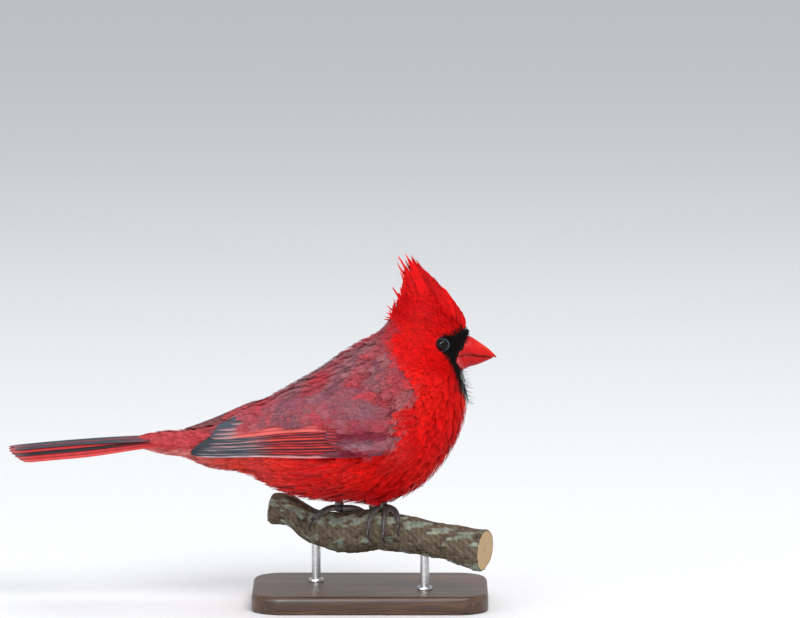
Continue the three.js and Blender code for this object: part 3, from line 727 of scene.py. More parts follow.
def eye_gap(P):
    y0 = EYE["r"]
    return np.sqrt((P[:, 0] - EYE["x"]) ** 2 + (P[:, 2] - EYE["z"]) ** 2) * np.where(np.abs(P[:, 1]) > 5, 1, 9)


def bill_root(z):
    """Rear outline of the bill on the side of the face."""
    return np.interp(z, [103.0, 104.6, 105.6, 108.2, 110.8, 113.0, 115.5, 118.4, 119.8, 121], [46, 42.0, 39.4, 37.5, 37.8, 39.0, 41.0, 43.4, 45.5, 48])


def bill_gap(P):
    return np.where(P[:, 0] > bill_root(P[:, 2]) - 0.25, 0.0, 9.0)


def under_wing(P):
    """True where the closed wing lies over the body; feathers above and in front of it may start a little inside."""
    e = WING_EDGE[-1][::-1]
    low = P[:, 2] < np.interp(P[:, 0], e[:, 0], 0.52 * e[:, 1] + 0.48 * e[:, 2])
    d = in_wing(P)
    return np.where(low & (P[:, 0] < 6), d > -0.6, d > 3.4)


def clear(P):
    return (eye_gap(P) > 3.1) & (bill_gap(P) > 1.0) & ~under_wing(P)


def head_w(P):
    """1 on the head, 0 on the body."""
    t = P[:, 2] - (101.5 + (43 - P[:, 0]) * (21.0 / 39.0))
    return smooth(-6, 2, t)


def face_w(P):
    r = np.sqrt((P[:, 0] - 42) ** 2 + (P[:, 2] - 113) ** 2 + (P[:, 1] * 0.4) ** 2)
    return smooth(21, 9, r)


def wing_lift(P):
    e = WING_EDGE[-1][::-1]
    up = smooth(0.30, 0.55, (P[:, 2] - np.interp(P[:, 0], e[:, 0], e[:, 1])) / np.maximum(np.interp(P[:, 0], e[:, 0], e[:, 2] - e[:, 1]), 3.0))
    return (2.6 + 0.9 * smooth(4, 9, P[:, 0])) * smooth(-1.5, 2.0, in_wing(P)) * np.maximum(up, smooth(2, 8, P[:, 0]))


def crest_zone(P):
    return crest(P, 1.6) < body(P) + depth(P) + 0.6


def spacing_body(P):
    return 1.75 + 0.35 * smooth(70, 55, P[:, 2]) - 0.35 * smooth(-60, -95, P[:, 0])


def spacing_head(P):
    return 1.25 - 0.62 * face_w(P)


def region(P):
    x, y, z = P[:, 0], P[:, 1], P[:, 2]
    r = np.full(len(P), 0)  # back
    r[(z < 96) & (x > -2)] = 1  # breast
    r[(z < 72) & (x <= -2)] = 2  # belly
    r[x < -48] = 3  # rump
    return r


body_roots = scatter(skin_P, skin_Q, spacing_body, lambda P: (head_w(P) < 0.66) & clear(P))
head_roots = scatter(skin_P, skin_Q, spacing_head, lambda P: (head_w(P) >= 0.36) & clear(P) & ~(P[:, 2] > 134))

names = ["back", "breast", "belly", "rump"]
reg = region(body_roots)
for r, nm in enumerate(names):
    for side, sn in ((-1, "right"), (1, "left")):
        sel = body_roots[(reg == r) & (np.where(body_roots[:, 1] < 0, -1, 1) == side)]
        if not len(sel):
            continue
        sel = sel[np.argsort(-(sel * lie(sel)).sum(1) * 0 - sel[:, 0])]
        L = 10.6 - 1.2 * smooth(80, 100, sel[:, 2]) + 1.2 * smooth(68, 55, sel[:, 2]) - 1.2 * smooth(-55, -90, sel[:, 0])
        L = L * np.clip(1 + rng.normal(0, 0.10, len(sel)), 0.7, 1.3)
        W = L * (0.27 - 0.03 * smooth(-50, -80, sel[:, 0]))
        dl = depth(sel)
        fr = 0.05 + 0.6 * np.exp(-(((sel[:, 0] - 18.5) / 4.0) ** 2) - ((sel[:, 2] - 93.0) / 6.0) ** 2)
        fr = fr + 0.2 * np.exp(-(((sel[:, 0] - 16.5) / 3.0) ** 2) - ((sel[:, 2] - 80.0) / 6.0) ** 2)
        fr = fr + 0.16 * smooth(60, 52, sel[:, 2]) * smooth(20, 0, sel[:, 0])
        fr = fr + 0.16 * smooth(70, 66, sel[:, 2]) * smooth(8, -4, sel[:, 0])
        coat = Coat("coat_%s_%s" % (nm, sn))
        feathers(coat, sel, L, W, 52, -dl, 0.05, fringe=fr, extra=wing_lift, width=W * 0.15 * 1, pointed=0.3, rough=0.045, vary=0.06)
        coat.finish()
hr = head_roots
for side, sn in ((-1, "right"), (1, "left")):
    sel = hr[np.where(hr[:, 1] < 0, -1, 1) == side]
    fw = face_w(sel)
    L = (6.4 - 4.4 * fw) * np.clip(1 + rng.normal(0, 0.10, len(sel)), 0.7, 1.3)
    W = L * 0.30
    coat = Coat("coat_head_%s" % sn)
    feathers(coat, sel, L, W, 34, -depth(sel), 0.1, width=W * 0.17, jitter=0.09, rough=0.035, vary=0.05)
    coat.finish()

# ---------------------------------------------------------------- eyes, bill
def horn(nt, b):
    tc = node(nt, "ShaderNodeTexCoord")
    n = node(nt, "ShaderNodeTexNoise", Scale=240.0, Detail=4.0)
    nt.links.new(tc.outputs["Object"], n.inputs["Vector"])
    col = node(nt, "ShaderNodeVertexColor", layer_name="Col")
    g = ramp(nt, n.outputs["Fac"], [(0.3, (0.82, 0.82, 0.82)), (0.7, (1.1, 1.1, 1.1))])
    nt.links.new(mult(nt, col.outputs["Color"], g), b.inputs["Base Color"])
    bump = node(nt, "ShaderNodeBump", Strength=0.12, Distance=0.0003)
    nt.links.new(n.outputs["Fac"], bump.inputs["Height"])
    nt.links.new(bump.outputs["Normal"], b.inputs["Normal"])
    b.inputs["Roughness"].default_value = 0.38
    b.inputs["Specular IOR Level"].default_value = 0.18
    b.inputs["Subsurface Weight"].default_value = 0.12
    b.inputs["Subsurface Radius"].default_value = (0.003, 0.001, 0.0006)


MAT_BILL = material("bill_horn", horn)


FACE_X = np.arange(35.0, 50.0, 0.5)
_p = np.stack([FACE_X, np.full(len(FACE_X), 30.0), np.full(len(FACE_X), 110.6)], -1)
for _ in range(45):
    _d = bird(_p)
    _p[:, 1] = np.maximum(_p[:, 1] - np.maximum(0.02, _d * 0.8) * (_d > 0.01), 0.5)
FACE_Y = _p[:, 1].copy()


def bill_half(upper, steps=72, m=36):
    B = BILL
    rings, cols = [], []
    cut = 0.12
    for i in range(steps + 1):
        t = i / steps
        x = B["rootX"] + (B["tipX"] - (0 if upper else 1.6) - B["rootX"]) * t
        taper = max(0.0, 1 - t ** (1.75 if upper else 1.3)) ** (0.92 if upper else 1.0)
        gape = B["gapeRoot"] + (B["gapeTip"] - B["gapeRoot"]) * t - (0.5 * t**12 if upper else 0)
        gape += 0.35 * math.exp(-(((t - 0.42) / 0.12) ** 2)) - 0.9 * max(0.0, 0.42 - t)
        dep = (B["above"] if upper else B["below"]) * taper + 0.4
        half = B["half"] * max(0.0, 1 - t**1.22) ** 0.86 + 0.35
        for j in range(m + 1):
            a = j / m * math.pi
            keel = 0.25 * math.exp(-(((a - math.pi / 2) / 0.3) ** 2)) * (1 - t)
            y = half * math.cos(a) * (1.0 if upper else -1.0)
            z = cut + (dep + keel) * math.sin(a) ** 0.9
            # at the corner of the mouth the horn spreads over the side of the face
            ring_z = gape + (z if upper else -z)
            face = float(np.interp(x, FACE_X, FACE_Y)) + 0.18 - 0.055 * (ring_z - 110.6) ** 2 * 0.6
            back = float(smooth(-0.6, 0.8, x - float(bill_root(ring_z)))) * float(smooth(48.5, 39.8, x))
            grown = max(abs(y), face) * back + abs(y) * (1 - back)
            side_w = float(smooth(0.12, 0.72, abs(math.cos(a))))
            y = math.copysign(grown * side_w + abs(y) * (1 - side_w), y)
            rings.append((x, y, ring_z))
            # painted highlight: the top of the upper bill turns a lighter orange from its middle to the tip
            red_with_painted_highlight = mixc(srgb(196, 16, 18), srgb(226, 66, 30), 0.5 * smooth(0.35, 0.75, t) * smooth(0.5, 0.95, math.sin(a)))
            c = red_with_painted_highlight * (1 - 0.45 * smooth(0.9, 1.0, t)) if upper else srgb(184, 6, 10)
            c = mixc(c, srgb(200, 84, 84), 0.75 * smooth(0.27, 0.10, t) * (0.25 if upper else 0.7))
            c = mixc(c, srgb(120, 26, 16), 0.6 * smooth(0.22, 0.0, math.sin(a)) * smooth(0.0, 0.1, t))
            c = mixc(c, srgb(70, 30, 22), 0.5 * smooth(0.93, 1.0, t))
            cols.append(c)
    V = np.array(rings)
    w = m + 1
    q = []
    for i in range(steps):
        for j in range(w):
            a, b2 = i * w + j, i * w + (j + 1) % w
            q.append((a, b2, b2 + w, a + w))
    q = np.array(q)
    ends = [list(range(w))[::-1], [steps * w + j for j in range(w)]]
    tri = []
    V = np.concatenate([V, V[:w].mean(0)[None], V[steps * w :].mean(0)[None]])
    cols += [cols[0], cols[-1]]
    c0, c1 = len(V) - 2, len(V) - 1
    for j in range(w):
        tri.append((c0, (j + 1) % w, j))
        tri.append((c1, steps * w + j, steps * w + (j + 1) % w))
    name = "bill_upper_horn" if upper else "bill_lower_horn"
    o, _ = new_object(name, V, [q, np.array(tri)])
    put_color(o, np.array(cols))
    done(o, MAT_BILL, "bill", "bill_upper" if upper else "bill_lower")
    return o


bill_half(True)
bill_half(False)


def side_width(X, Z, swell=None):
    """Half-width of the body at places of the side view, with a wing's swell if given."""
    P = np.stack([X, np.full(X.shape, 42.0), Z], -1)

    def f(p):
        d = body(p)
        return blend(d, ell(p, swell), swell["k"]) if swell else d

    for _ in range(45):
        d = f(P)
        P[..., 1] = np.maximum(P[..., 1] - np.maximum(0.02, d * 0.8) * (d > 0.01), 0.5)
    return P[..., 1]


EYE_Y = float(side_width(np.array([EYE["x"]]), np.array([EYE["z"]]))[0]) - EYE["r"] + EYE["proud"]


def eye_mat(nt, b):
    tc = node(nt, "ShaderNodeTexCoord")
    n = node(nt, "ShaderNodeTexNoise", Scale=900.0, Detail=2.0)
    nt.links.new(tc.outputs["Object"], n.inputs["Vector"])
    nt.links.new(ramp(nt, n.outputs["Fac"], [(0.3, (0.002, 0.002, 0.003)), (0.8, (0.006, 0.004, 0.004))]), b.inputs["Base Color"])
    b.inputs["Roughness"].default_value = 0.04
    b.inputs["Specular IOR Level"].default_value = 0.15


MAT_EYE = material("eye_gloss", eye_mat)


def lid_mat(nt, b):
    tc = node(nt, "ShaderNodeTexCoord")
    n = node(nt, "ShaderNodeTexNoise", Scale=2200.0, Detail=2.0)
    nt.links.new(tc.outputs["Object"], n.inputs["Vector"])
    col = node(nt, "ShaderNodeVertexColor", layer_name="Col")
    g = ramp(nt, n.outputs["Fac"], [(0.3, (0.6, 0.6, 0.6)), (0.75, (1.2, 1.2, 1.2))])
    nt.links.new(mult(nt, col.outputs["Color"], g), b.inputs["Base Color"])
    b.inputs["Specular IOR Level"].default_value = 0.15
    bump = node(nt, "ShaderNodeBump", Strength=0.5, Distance=0.0002)
    nt.links.new(n.outputs["Fac"], bump.inputs["Height"])
    nt.links.new(bump.outputs["Normal"], b.inputs["Normal"])
    b.inputs["Roughness"].default_value = 0.6


MAT_LID = material("eye_lid", lid_mat)


def uv_sphere(cx, cy, cz, r, nu=48, nv=32):
    V, q = [], []
    for i in range(nv + 1):
        a = math.pi * i / nv
        for j in range(nu):
            b = 2 * math.pi * j / nu
            V.append((cx + r * math.sin(a) * math.cos(b), cy + r * math.cos(a), cz + r * math.sin(a) * math.sin(b)))
    for i in range(nv):
        for j in range(nu):
            a, b = i * nu + j, i * nu + (j + 1) % nu
            q.append((a, b, b + nu, a + nu))
    return np.array(V), np.array(q)


for side, sn in ((-1, "right"), (1, "left")):
    V, q = uv_sphere(EYE["x"], side * EYE_Y, EYE["z"], EYE["r"])
    o, _ = new_object("eyeball_" + sn, V, q)
    done(o, MAT_EYE, "eye", "eye_" + sn)
    # lids: a soft rim that hugs the ball, then runs down under the face feathers
    nu, rows = 56, []
    for k, (rad, up) in enumerate(((2.62, 0.0), (2.72, 0.14), (2.84, 0.20), (2.98, 0.17), (3.2, 0.02), (3.5, -0.4), (4.0, -1.3))):
        ring = []
        for j in range(nu):
            a = 2 * math.pi * j / nu
            rr = rad * (1 + 0.10 * abs(math.cos(a)) ** 3 * (k < 4)) * (1 - 0.05 * max(0, math.sin(a)))
            dx, dz = rr * math.cos(a), rr * math.sin(a)
            h = math.sqrt(max(0.0, (EYE["r"] + 0.05) ** 2 - min(rr, 3.05) ** 2))
            ring.append((EYE["x"] + dx, side * (EYE_Y + h + up), EYE["z"] + dz))
        rows.append(ring)
    V = np.array(rows).reshape(-1, 3)
    q = []
    for i in range(len(rows) - 1):
        for j in range(nu):
            a, b = i * nu + j, i * nu + (j + 1) % nu
            q.append((a, b, b + nu, a + nu) if side < 0 else (a, a + nu, b + nu, b))
    o, _ = new_object("eye_lids_" + sn, V, np.array(q))
    tones = np.array([srgb(10, 10, 14), srgb(30, 34, 46), srgb(126, 144, 170), srgb(34, 38, 50), srgb(12, 10, 14), srgb(12, 8, 10), srgb(12, 8, 10)])
    front_low = np.array([0.55 + 0.45 * math.cos(2 * math.pi * j / nu + 0.9) for j in range(nu)])
    lid_c = np.repeat(tones[:, None], nu, 1)
    lid_c[2] = srgb(30, 34, 44) * (1 - front_low[:, None]) + lid_c[2] * front_low[:, None]
    put_color(o, lid_c.reshape(-1, 3))
    done(o, MAT_LID, "eye")


# ---------------------------------------------------------------- crest
def crest_locks(n=286):
    """Long narrow feathers from the crown; front ones short, tallest in the middle, then shorter down the nape."""
    base = np.array([(42.2, 123.8), (41.4, 126.0), (39.8, 128.4), (37.0, 130.0), (33.5, 131.0), (29.0, 131.2), (24.0, 130.6), (19.0, 129.4), (14.5, 127.2), (11.0, 124.6)])
    tip = np.array([(40.2, 128.0), (37.0, 132.8), (32.6, 138.8), (27.2, 145.2), (20.9, 151.2), (17.6, 153.8), (15.4, 150.6), (14.8, 143.6), (12.8, 136.2), (8.6, 129.8)])
    k = np.linspace(0, 1, len(base))
    R, C = [], []
    K = 6
    strays = {0: (0.66, 12.2, 154.2), 1: (0.60, 15.6, 154.8), 2: (0.55, 17.8, 154.4), 3: (0.80, 9.7, 140.6), 4: (0.86, 10.2, 134.6), 5: (0.93, 7.6, 129.2), 6: (0.74, 13.0, 147.0), 7: (0.70, 12.4, 150.2), 8: (0.90, 8.2, 132.0), 9: (0.97, 6.6, 126.2), 10: (0.95, 7.0, 127.4)}
    for i in range(n):
        u = (i + 0.5) / (n - 46)
        u = float(np.clip(u + rng.normal(0, 0.02), 0, 1))
        v = rng.uniform(-1, 1)
        pull = 1.0
        bx, bz = np.interp(u, k, base[:, 0]), np.interp(u, k, base[:, 1])
        tx, tz = np.interp(u, k, tip[:, 0]), np.interp(u, k, tip[:, 1])
        short = rng.uniform(0, 0.34) if rng.random() < 0.75 else rng.uniform(0, 0.06)
        if i >= n - 46:
            u = rng.uniform(0.0, 0.14)
            v = rng.uniform(-0.5, 0.5)
            bx, bz = np.interp(u, k, base[:, 0]) + 0.5, np.interp(u, k, base[:, 1]) - 1.4
            tx, tz = np.interp(u, k, tip[:, 0]), np.interp(u, k, tip[:, 1])
            short = rng.uniform(0.0, 0.3)
        if i in strays:
            u, tx, tz = strays[i]
            bx, bz = np.interp(u, k, base[:, 0]), np.interp(u, k, base[:, 1])
            v, short = rng.uniform(-0.5, 0.5), 0.0
        hw = 9.0 * (1 - abs(u - 0.45) * 0.5)
        bz2 = bz - 4.2 * abs(v) ** 1.6
        b = np.array([bx - 1.0, v * hw, bz2])
        t = np.array([tx, v * (0.8 + 1.6 * abs(u - 0.5)), tz])
        t = t + (b - t) * short + np.array([rng.normal(0, 0.35), 0, rng.normal(0, 0.3)])
        ctrl = b * 0.5 + t * 0.5 + np.array([1.7, v * 1.4, 1.3]) * (0.9 if u < 0.75 else 0.2)
        s_ = np.linspace(0, 1, K)[:, None]
        C.append((1 - s_) ** 2 * b + 2 * s_ * (1 - s_) * ctrl + s_**2 * t)
        R.append(b)
    C, R = np.array(C), np.array(R)
    T = unit(np.gradient(C, axis=1))
    out = np.zeros_like(C)
    out[..., 1] = np.where(R[:, 1] < 0, -1, 1)[:, None]
    out[..., 0] = 0.15
    N = unit(out - (out * T).sum(-1, keepdims=True) * T)
    L = np.linalg.norm(C[:, -1] - C[:, 0], axis=1)
    return R, C, T, N, L


R_, C_, T_, N_, L_ = crest_locks()
crest_coat = Coat("coat_crest")
crest_col = mixc(np.tile(DEEP, (len(R_), 1)), RED, np.clip(0.35 + 0.4 * rng.random(len(R_)) + 0.4 * smooth(30, 12, R_[:, 0]), 0, 1))
plume(crest_coat, R_, C_, T_, N_, L_, np.clip(L_ * 0.085, 0.7, 1.7), 48, col=crest_col, width=np.full(len(L_), 0.34), pointed=0.85, rough=0.10)
crest_coat.finish()

# curved bristles at the chin and the root of the bill
bris = Coat("coat_bristles")
nb = 34
bR, bC = [], []
for i in range(nb):
    t = i / (nb - 1)
    v = rng.uniform(-1, 1)
    z = 107.0 - 17.5 * t
    x = 41.6 + 0.9 * math.sin(t * 3.1)
    p = to_level(bird, np.array([[x, v * 4.5, z]]), -0.6, 3)[0]
    out = np.array([1.0, v * 0.45, -0.35 - 0.3 * t])
    out /= np.linalg.norm(out)
    L = rng.uniform(2.6, 4.9)
    up = np.array([0, 0, 1.0])
    s_ = np.linspace(0, 1, 6)[:, None]
    bC.append(p + out * L * s_ + up * (s_**2) * rng.uniform(0.3, 1.7) + np.array([0, 0, -1.0]) * 0.9 * s_ * (1 - s_))
    bR.append(p)
for i in range(70):
    v = rng.uniform(-1, 1)
    z = 122.5 - 4.8 * rng.random() - 1.6 * v * v
    p = to_level(bird, np.array([[43.0, v * 5.2, z]]), -0.5, 3)[0]
    out = np.array([1.0, v * 0.35, -0.25 + rng.normal(0, 0.15)])
    out /= np.linalg.norm(out)
    L = rng.uniform(1.1, 2.1) * (1 - 0.4 * float(smooth(119.5, 122.0, z)))
    s_ = np.linspace(0, 1, 6)[:, None]
    bC.append(p + out * L * s_ + np.array([0, 0, 1.0]) * (s_**2) * rng.uniform(-0.5, 0.4))
    bR.append(p)
nb = len(bC)
bC, bR = np.array(bC), np.array(bR)
for i in range(nb):
    C = bC[i]
    T = unit(np.gradient(C, axis=0))
    A = unit(np.cross(T, np.array([0.0, 1.0, 0.0])))
    B = np.cross(T, A)
    w = (0.11 if i < 34 else 0.24) * (1 - np.linspace(0, 1, 6)) ** 0.7
    ring = np.stack([C + A * w[:, None], C - A * (w / 2)[:, None] + B * (w * 0.87)[:, None], C - A * (w / 2)[:, None] - B * (w * 0.87)[:, None]], 1)
    V = ring.reshape(-1, 3)
    q = [(k * 3 + j, k * 3 + (j + 1) % 3, k * 3 + 3 + (j + 1) % 3, k * 3 + 3 + j) for k in range(5) for j in range(3)]
    uv = np.tile(unwrap(bR[i : i + 1]), (len(V), 1)) + np.linspace(-0.0014, 0.0014, len(V))[:, None] * np.array([[1.0, 1.0]])
    bris.add(V, np.array(q), None, np.tile(MASK * 0.6, (len(V), 1)), uv)
bris.finish()

# ---------------------------------------------------------------- quills of wings and tail
class Blades:
    """Closed thin vanes, each with its own strip of the bake's map."""

    def __init__(self, name, total):
        self.name, self.total, self.i = name, total, 0
        self.V, self.Q, self.C, self.U, self.W, self.n = [], [], [], [], [], 0

    def add(self, mid, normal, across, lo, hi, color, thick=0.22, M=9, shaft=0.27, camber=0.25):
        """mid (K,3) runs along the shaft's line; across (K,3) points over the vane; lo and hi (K,) are its edges along across."""
        K = len(mid)
        w = np.linspace(0, 1, M)
        lat = lo[:, None] * (1 - w) + hi[:, None] * w
        rel = w[None, :] - shaft
        cam = -camber * (rel**2) * (hi - lo)[:, None] * 0.6
        top = mid[:, None] + across[:, None] * lat[..., None] + normal[:, None] * cam[..., None]
        ridge = 0.16 * np.exp(-((rel / 0.045) ** 2)) * np.linspace(1, 0.3, K)[:, None]
        th = thick * (1 - 0.75 * np.abs(2 * w - 1) ** 3)[None, :] * np.ones((K, 1)) * 0.5
        up = top + normal[:, None] * (th + ridge)[..., None]
        dn = top - normal[:, None] * th[..., None]
        V = np.concatenate([up.reshape(-1, 3), dn.reshape(-1, 3)])
        k, j = np.meshgrid(np.arange(K - 1), np.arange(M - 1), indexing="ij")
        a = (k * M + j).ravel()
        qu = np.stack([a, a + 1, a + 1 + M, a + M], -1)
        qd = np.stack([a, a + M, a + 1 + M, a + 1], -1) + K * M
        rim = []
        loop = [(i2, 0) for i2 in range(K)] + [(K - 1, j2) for j2 in range(1, M)] + [(i2, M - 1) for i2 in range(K - 2, -1, -1)] + [(0, j2) for j2 in range(M - 2, 0, -1)]
        for x in range(len(loop)):
            p, q2 = loop[x], loop[(x + 1) % len(loop)]
            ia, ib = p[0] * M + p[1], q2[0] * M + q2[1]
            rim.append((ia, ib, ib + K * M, ia + K * M))
        Q = np.concatenate([qu, qd, np.array(rim)])
        # keep faces looking outward whichever way the vane was laid
        tri = V[Q[0]]
        if np.dot(np.cross(tri[1] - tri[0], tri[2] - tri[0]), normal[0]) < 0:
            Q = Q[:, ::-1]
        run = np.concatenate([[0], np.cumsum(np.linalg.norm(np.diff(mid, axis=0), axis=1))])
        col = color(np.linspace(0, 1, K)[:, None] * np.ones((1, M)), w[None, :] * np.ones((K, 1)), lat, run)
        h = 0.94 / self.total
        u = 0.02 + 0.96 * np.linspace(0, 1, K)[:, None] * np.ones((1, M))
        v0 = 0.02 + h * self.i
        vv = v0 + h * (0.04 + 0.44 * w[None, :]) * np.ones((K, 1))
        vd = v0 + h * (0.50 + 0.44 * w[None, :]) * np.ones((K, 1))
        self.U.append(np.concatenate([np.stack([u, vv], -1).reshape(-1, 2), np.stack([u, vd], -1).reshape(-1, 2)]))
        mid_lat = lo + (hi - lo) * shaft
        vane = np.stack([(lat - mid_lat[:, None]) * MM, run[:, None] * MM * np.ones((1, M))], -1).reshape(-1, 2)
        self.W.append(np.concatenate([vane, vane]))
        c = col.reshape(-1, 3)
        # painted shade: the vane's lower face takes its upper colour at 0.72
        self.C.append(np.concatenate([c, c * 0.72]))
        self.V.append(V)
        self.Q.append(Q + self.n)
        self.n += len(V)
        self.i += 1

    def finish(self, slot, *nodes):
        o, loops = new_object(self.name, np.concatenate(self.V), np.concatenate(self.Q))
        put_color(o, np.concatenate(self.C))
        put_uv(o, "OFBake", np.concatenate(self.U)[loops])
        put_uv(o, "Vane", np.concatenate(self.W)[loops])
        done(o, MAT_VANE, slot, *nodes)
        return o


DUSK = srgb(62, 64, 74)
DUSK_DARK = srgb(26, 18, 28)
DUSK_BLUE = srgb(74, 88, 98)
EDGE_RED = srgb(224, 66, 52)
EDGE_PINK = srgb(206, 150, 150)
EDGE_PALE = srgb(188, 178, 184)
WINE = srgb(132, 12, 44)
PLUM = srgb(96, 66, 86)


def cubic(xs, zs, x):
    """Smooth curve through a few points."""
    xs, zs = np.array(xs, float), np.array(zs, float)
    m = np.gradient(zs, xs)
    i = np.clip(np.searchsorted(xs, x) - 1, 0, len(xs) - 2)
    h = xs[i + 1] - xs[i]
    t = np.clip((x - xs[i]) / h, 0, 1)
    return (2 * t**3 - 3 * t**2 + 1) * zs[i] + (t**3 - 2 * t**2 + t) * h * m[i] + (-2 * t**3 + 3 * t**2) * zs[i + 1] + (t**3 - t**2) * h * m[i + 1]


class WingChart:
    """Places of the folded wing in the side view, carried onto the swell of the wing."""

    def __init__(self, side, swell):
        self.side = side
        self.gx, self.gz = np.arange(-92, 24.1, 1.0), np.arange(58, 104.1, 1.0)
        X, Z = np.meshgrid(self.gx, self.gz, indexing="ij")
        W = side_width(X, Z, swell)
        b = 0.8 * smooth(-46, -74, X)
        W = W * (1 - b) + np.maximum(side_width(X, np.minimum(Z, 76.0)), 5.5) * b
        for _ in range(2):
            W[1:-1, 1:-1] = (W[1:-1, 1:-1] * 4 + W[2:, 1:-1] + W[:-2, 1:-1] + W[1:-1, 2:] + W[1:-1, :-2]) / 8
        self.W = W
        self.eR, self.eL = WING_EDGE[-1][::-1], WING_EDGE[1][::-1]

    def map(self, x, z):
        """From the right wing's side view to this wing's."""
        if self.side < 0:
            return x, z
        lo, hi = np.interp(x, self.eR[:, 0], self.eR[:, 1]), np.interp(x, self.eR[:, 0], self.eR[:, 2])
        f = (z - lo) / np.maximum(hi - lo, 3.0)
        x2 = np.where(x < 0, x * 1.042, x)
        lo2, hi2 = np.interp(x2, self.eL[:, 0], self.eL[:, 1]), np.interp(x2, self.eL[:, 0], self.eL[:, 2])
        return x2, lo2 + np.minimum(f, 1.0) * np.maximum(hi2 - lo2, 1.4)

    def width(self, x, z):
        i = np.clip((x - self.gx[0]), 0, len(self.gx) - 1.001)
        j = np.clip((z - self.gz[0]), 0, len(self.gz) - 1.001)
        a, b = i.astype(int), j.astype(int)
        u, v = i - a, j - b
        W = self.W
        return W[a, b] * (1 - u) * (1 - v) + W[a + 1, b] * u * (1 - v) + W[a, b + 1] * (1 - u) * v + W[a + 1, b + 1] * u * v

    def place(self, x, z, off):
        x, z = self.map(x, z)
        w = self.width(x, z)
        return np.stack([x, self.side * (w + off), z], -1)

    def normal(self, x, z):
        e = 1.2
        a = self.place(x + e, z, 0) - self.place(x - e, z, 0)
        b = self.place(x, z + e, 0) - self.place(x, z - e, 0)
        n = unit(np.cross(b, a))
        return n * np.sign(n[..., 1:2] * self.side + 1e-9)

    def blade(self, out, xs, zs, w_of, off_of, color, K=26, M=9, thick=0.2, shaft=0.27, round_tip=0.12, rough=0.0, under=None):
        """A vane whose lower edge runs through (xs, zs) from tip to root; w_of(t) is its width, t from root to tip."""
        x = np.linspace(xs[-1], xs[0], K)
        z = cubic(xs, zs, x)
        t = np.linspace(0, 1, K)
        w = w_of(t)
        cap = np.sqrt(np.clip(1 - ((t - (1 - round_tip)) / round_tip).clip(0, 1) ** 2, 0, 1))
        cap = np.maximum(cap, 0.06)
        notch = 1 - rough * (rng.random(K) < 0.16) * rng.random(K) * (t > 0.25)
        lo_e = w * shaft * (1 - cap)
        hi_e = w * shaft + (w * (1 - shaft)) * cap * notch
        lat = lo_e[:, None] * (1 - np.linspace(0, 1, M)) + hi_e[:, None] * np.linspace(0, 1, M)
        zz = z[:, None] + lat
        xx = x[:, None] * np.ones((1, M))
        off = off_of(t)[:, None] * np.ones((1, M))
        top = self.place(xx, zz, off)
        base_mid = self.place(x, z, off[:, 0])
        n0 = self.normal(x, z + 0.3 * w)
        out.add_grid(top, n0, color, lat, w * shaft, thick, shaft, under=under)


def add_grid(self, grid, normal, color, lat, mid_lat, thick, shaft, camber=0.12, under=None):
    K, M = grid.shape[:2]
    w = np.linspace(0, 1, M)
    rel = w - shaft
    ridge = 0.13 * np.exp(-((rel / 0.05) ** 2))[None, :] * np.linspace(1, 0.25, K)[:, None]
    th = 0.5 * thick * (1 - 0.75 * np.abs(2 * w - 1) ** 3)[None, :] * np.ones((K, 1))
    cam = -camber * (rel**2)[None, :] * np.ones((K, 1)) * 3
    up = grid + normal[:, None] * (th + ridge + cam)[..., None]
    dn = grid + normal[:, None] * (cam - th)[..., None]
    V = np.concatenate([up.reshape(-1, 3), dn.reshape(-1, 3)])
    k, j = np.meshgrid(np.arange(K - 1), np.arange(M - 1), indexing="ij")
    a = (k * M + j).ravel()
    qu = np.stack([a, a + 1, a + 1 + M, a + M], -1)
    qd = np.stack([a, a + M, a + 1 + M, a + 1], -1) + K * M
    loop = [(i2, 0) for i2 in range(K)] + [(K - 1, j2) for j2 in range(1, M)] + [(i2, M - 1) for i2 in range(K - 2, -1, -1)] + [(0, j2) for j2 in range(M - 2, 0, -1)]
    ids = np.array([p[0] * M + p[1] for p in loop])
    nxt = np.roll(ids, -1)
    rim = np.stack([ids, ids + K * M, nxt + K * M, nxt], -1)
    Q = np.concatenate([qu, qd, rim])
    mk = (K // 2) * (M - 1) + M // 2
    tri = V[Q[mk]]
    if np.dot(np.cross(tri[1] - tri[0], tri[2] - tri[0]), normal[K // 2]) < 0:
        Q = Q[:, ::-1]
    midline = grid[:, M // 3]
    run = np.concatenate([[0], np.cumsum(np.linalg.norm(np.diff(midline, axis=0), axis=1))])
    t = np.linspace(0, 1, K)[:, None] * np.ones((1, M))
    col = color(t, w[None, :] * np.ones((K, 1)), lat, run)
    h = 0.94 / self.total
    v0 = 0.02 + h * self.i
    vv = v0 + h * (0.04 + 0.44 * w[None, :]) * np.ones((K, 1))
    vd = v0 + h * (0.50 + 0.44 * w[None, :]) * np.ones((K, 1))
    u = 0.02 + 0.96 * t
    self.U.append(np.concatenate([np.stack([u, vv], -1).reshape(-1, 2), np.stack([u, vd], -1).reshape(-1, 2)]))
    vane = np.stack([(lat - np.asarray(mid_lat)[:, None]) * MM, run[:, None] * MM * np.ones((1, M))], -1).reshape(-1, 2)
    self.W.append(np.concatenate([vane, vane]))
    c = col.reshape(-1, 3)
    # painted shade: unless under gives its own colours, the lower face takes the upper face's colour at 0.8
    under = c * 0.8 if under is None else under(dn.reshape(-1, 3))
    self.C.append(np.concatenate([c, under]))
    self.V.append(V)
    self.Q.append(Q + self.n)
    self.n += len(V)
    self.i += 1


Blades.add_grid = add_grid


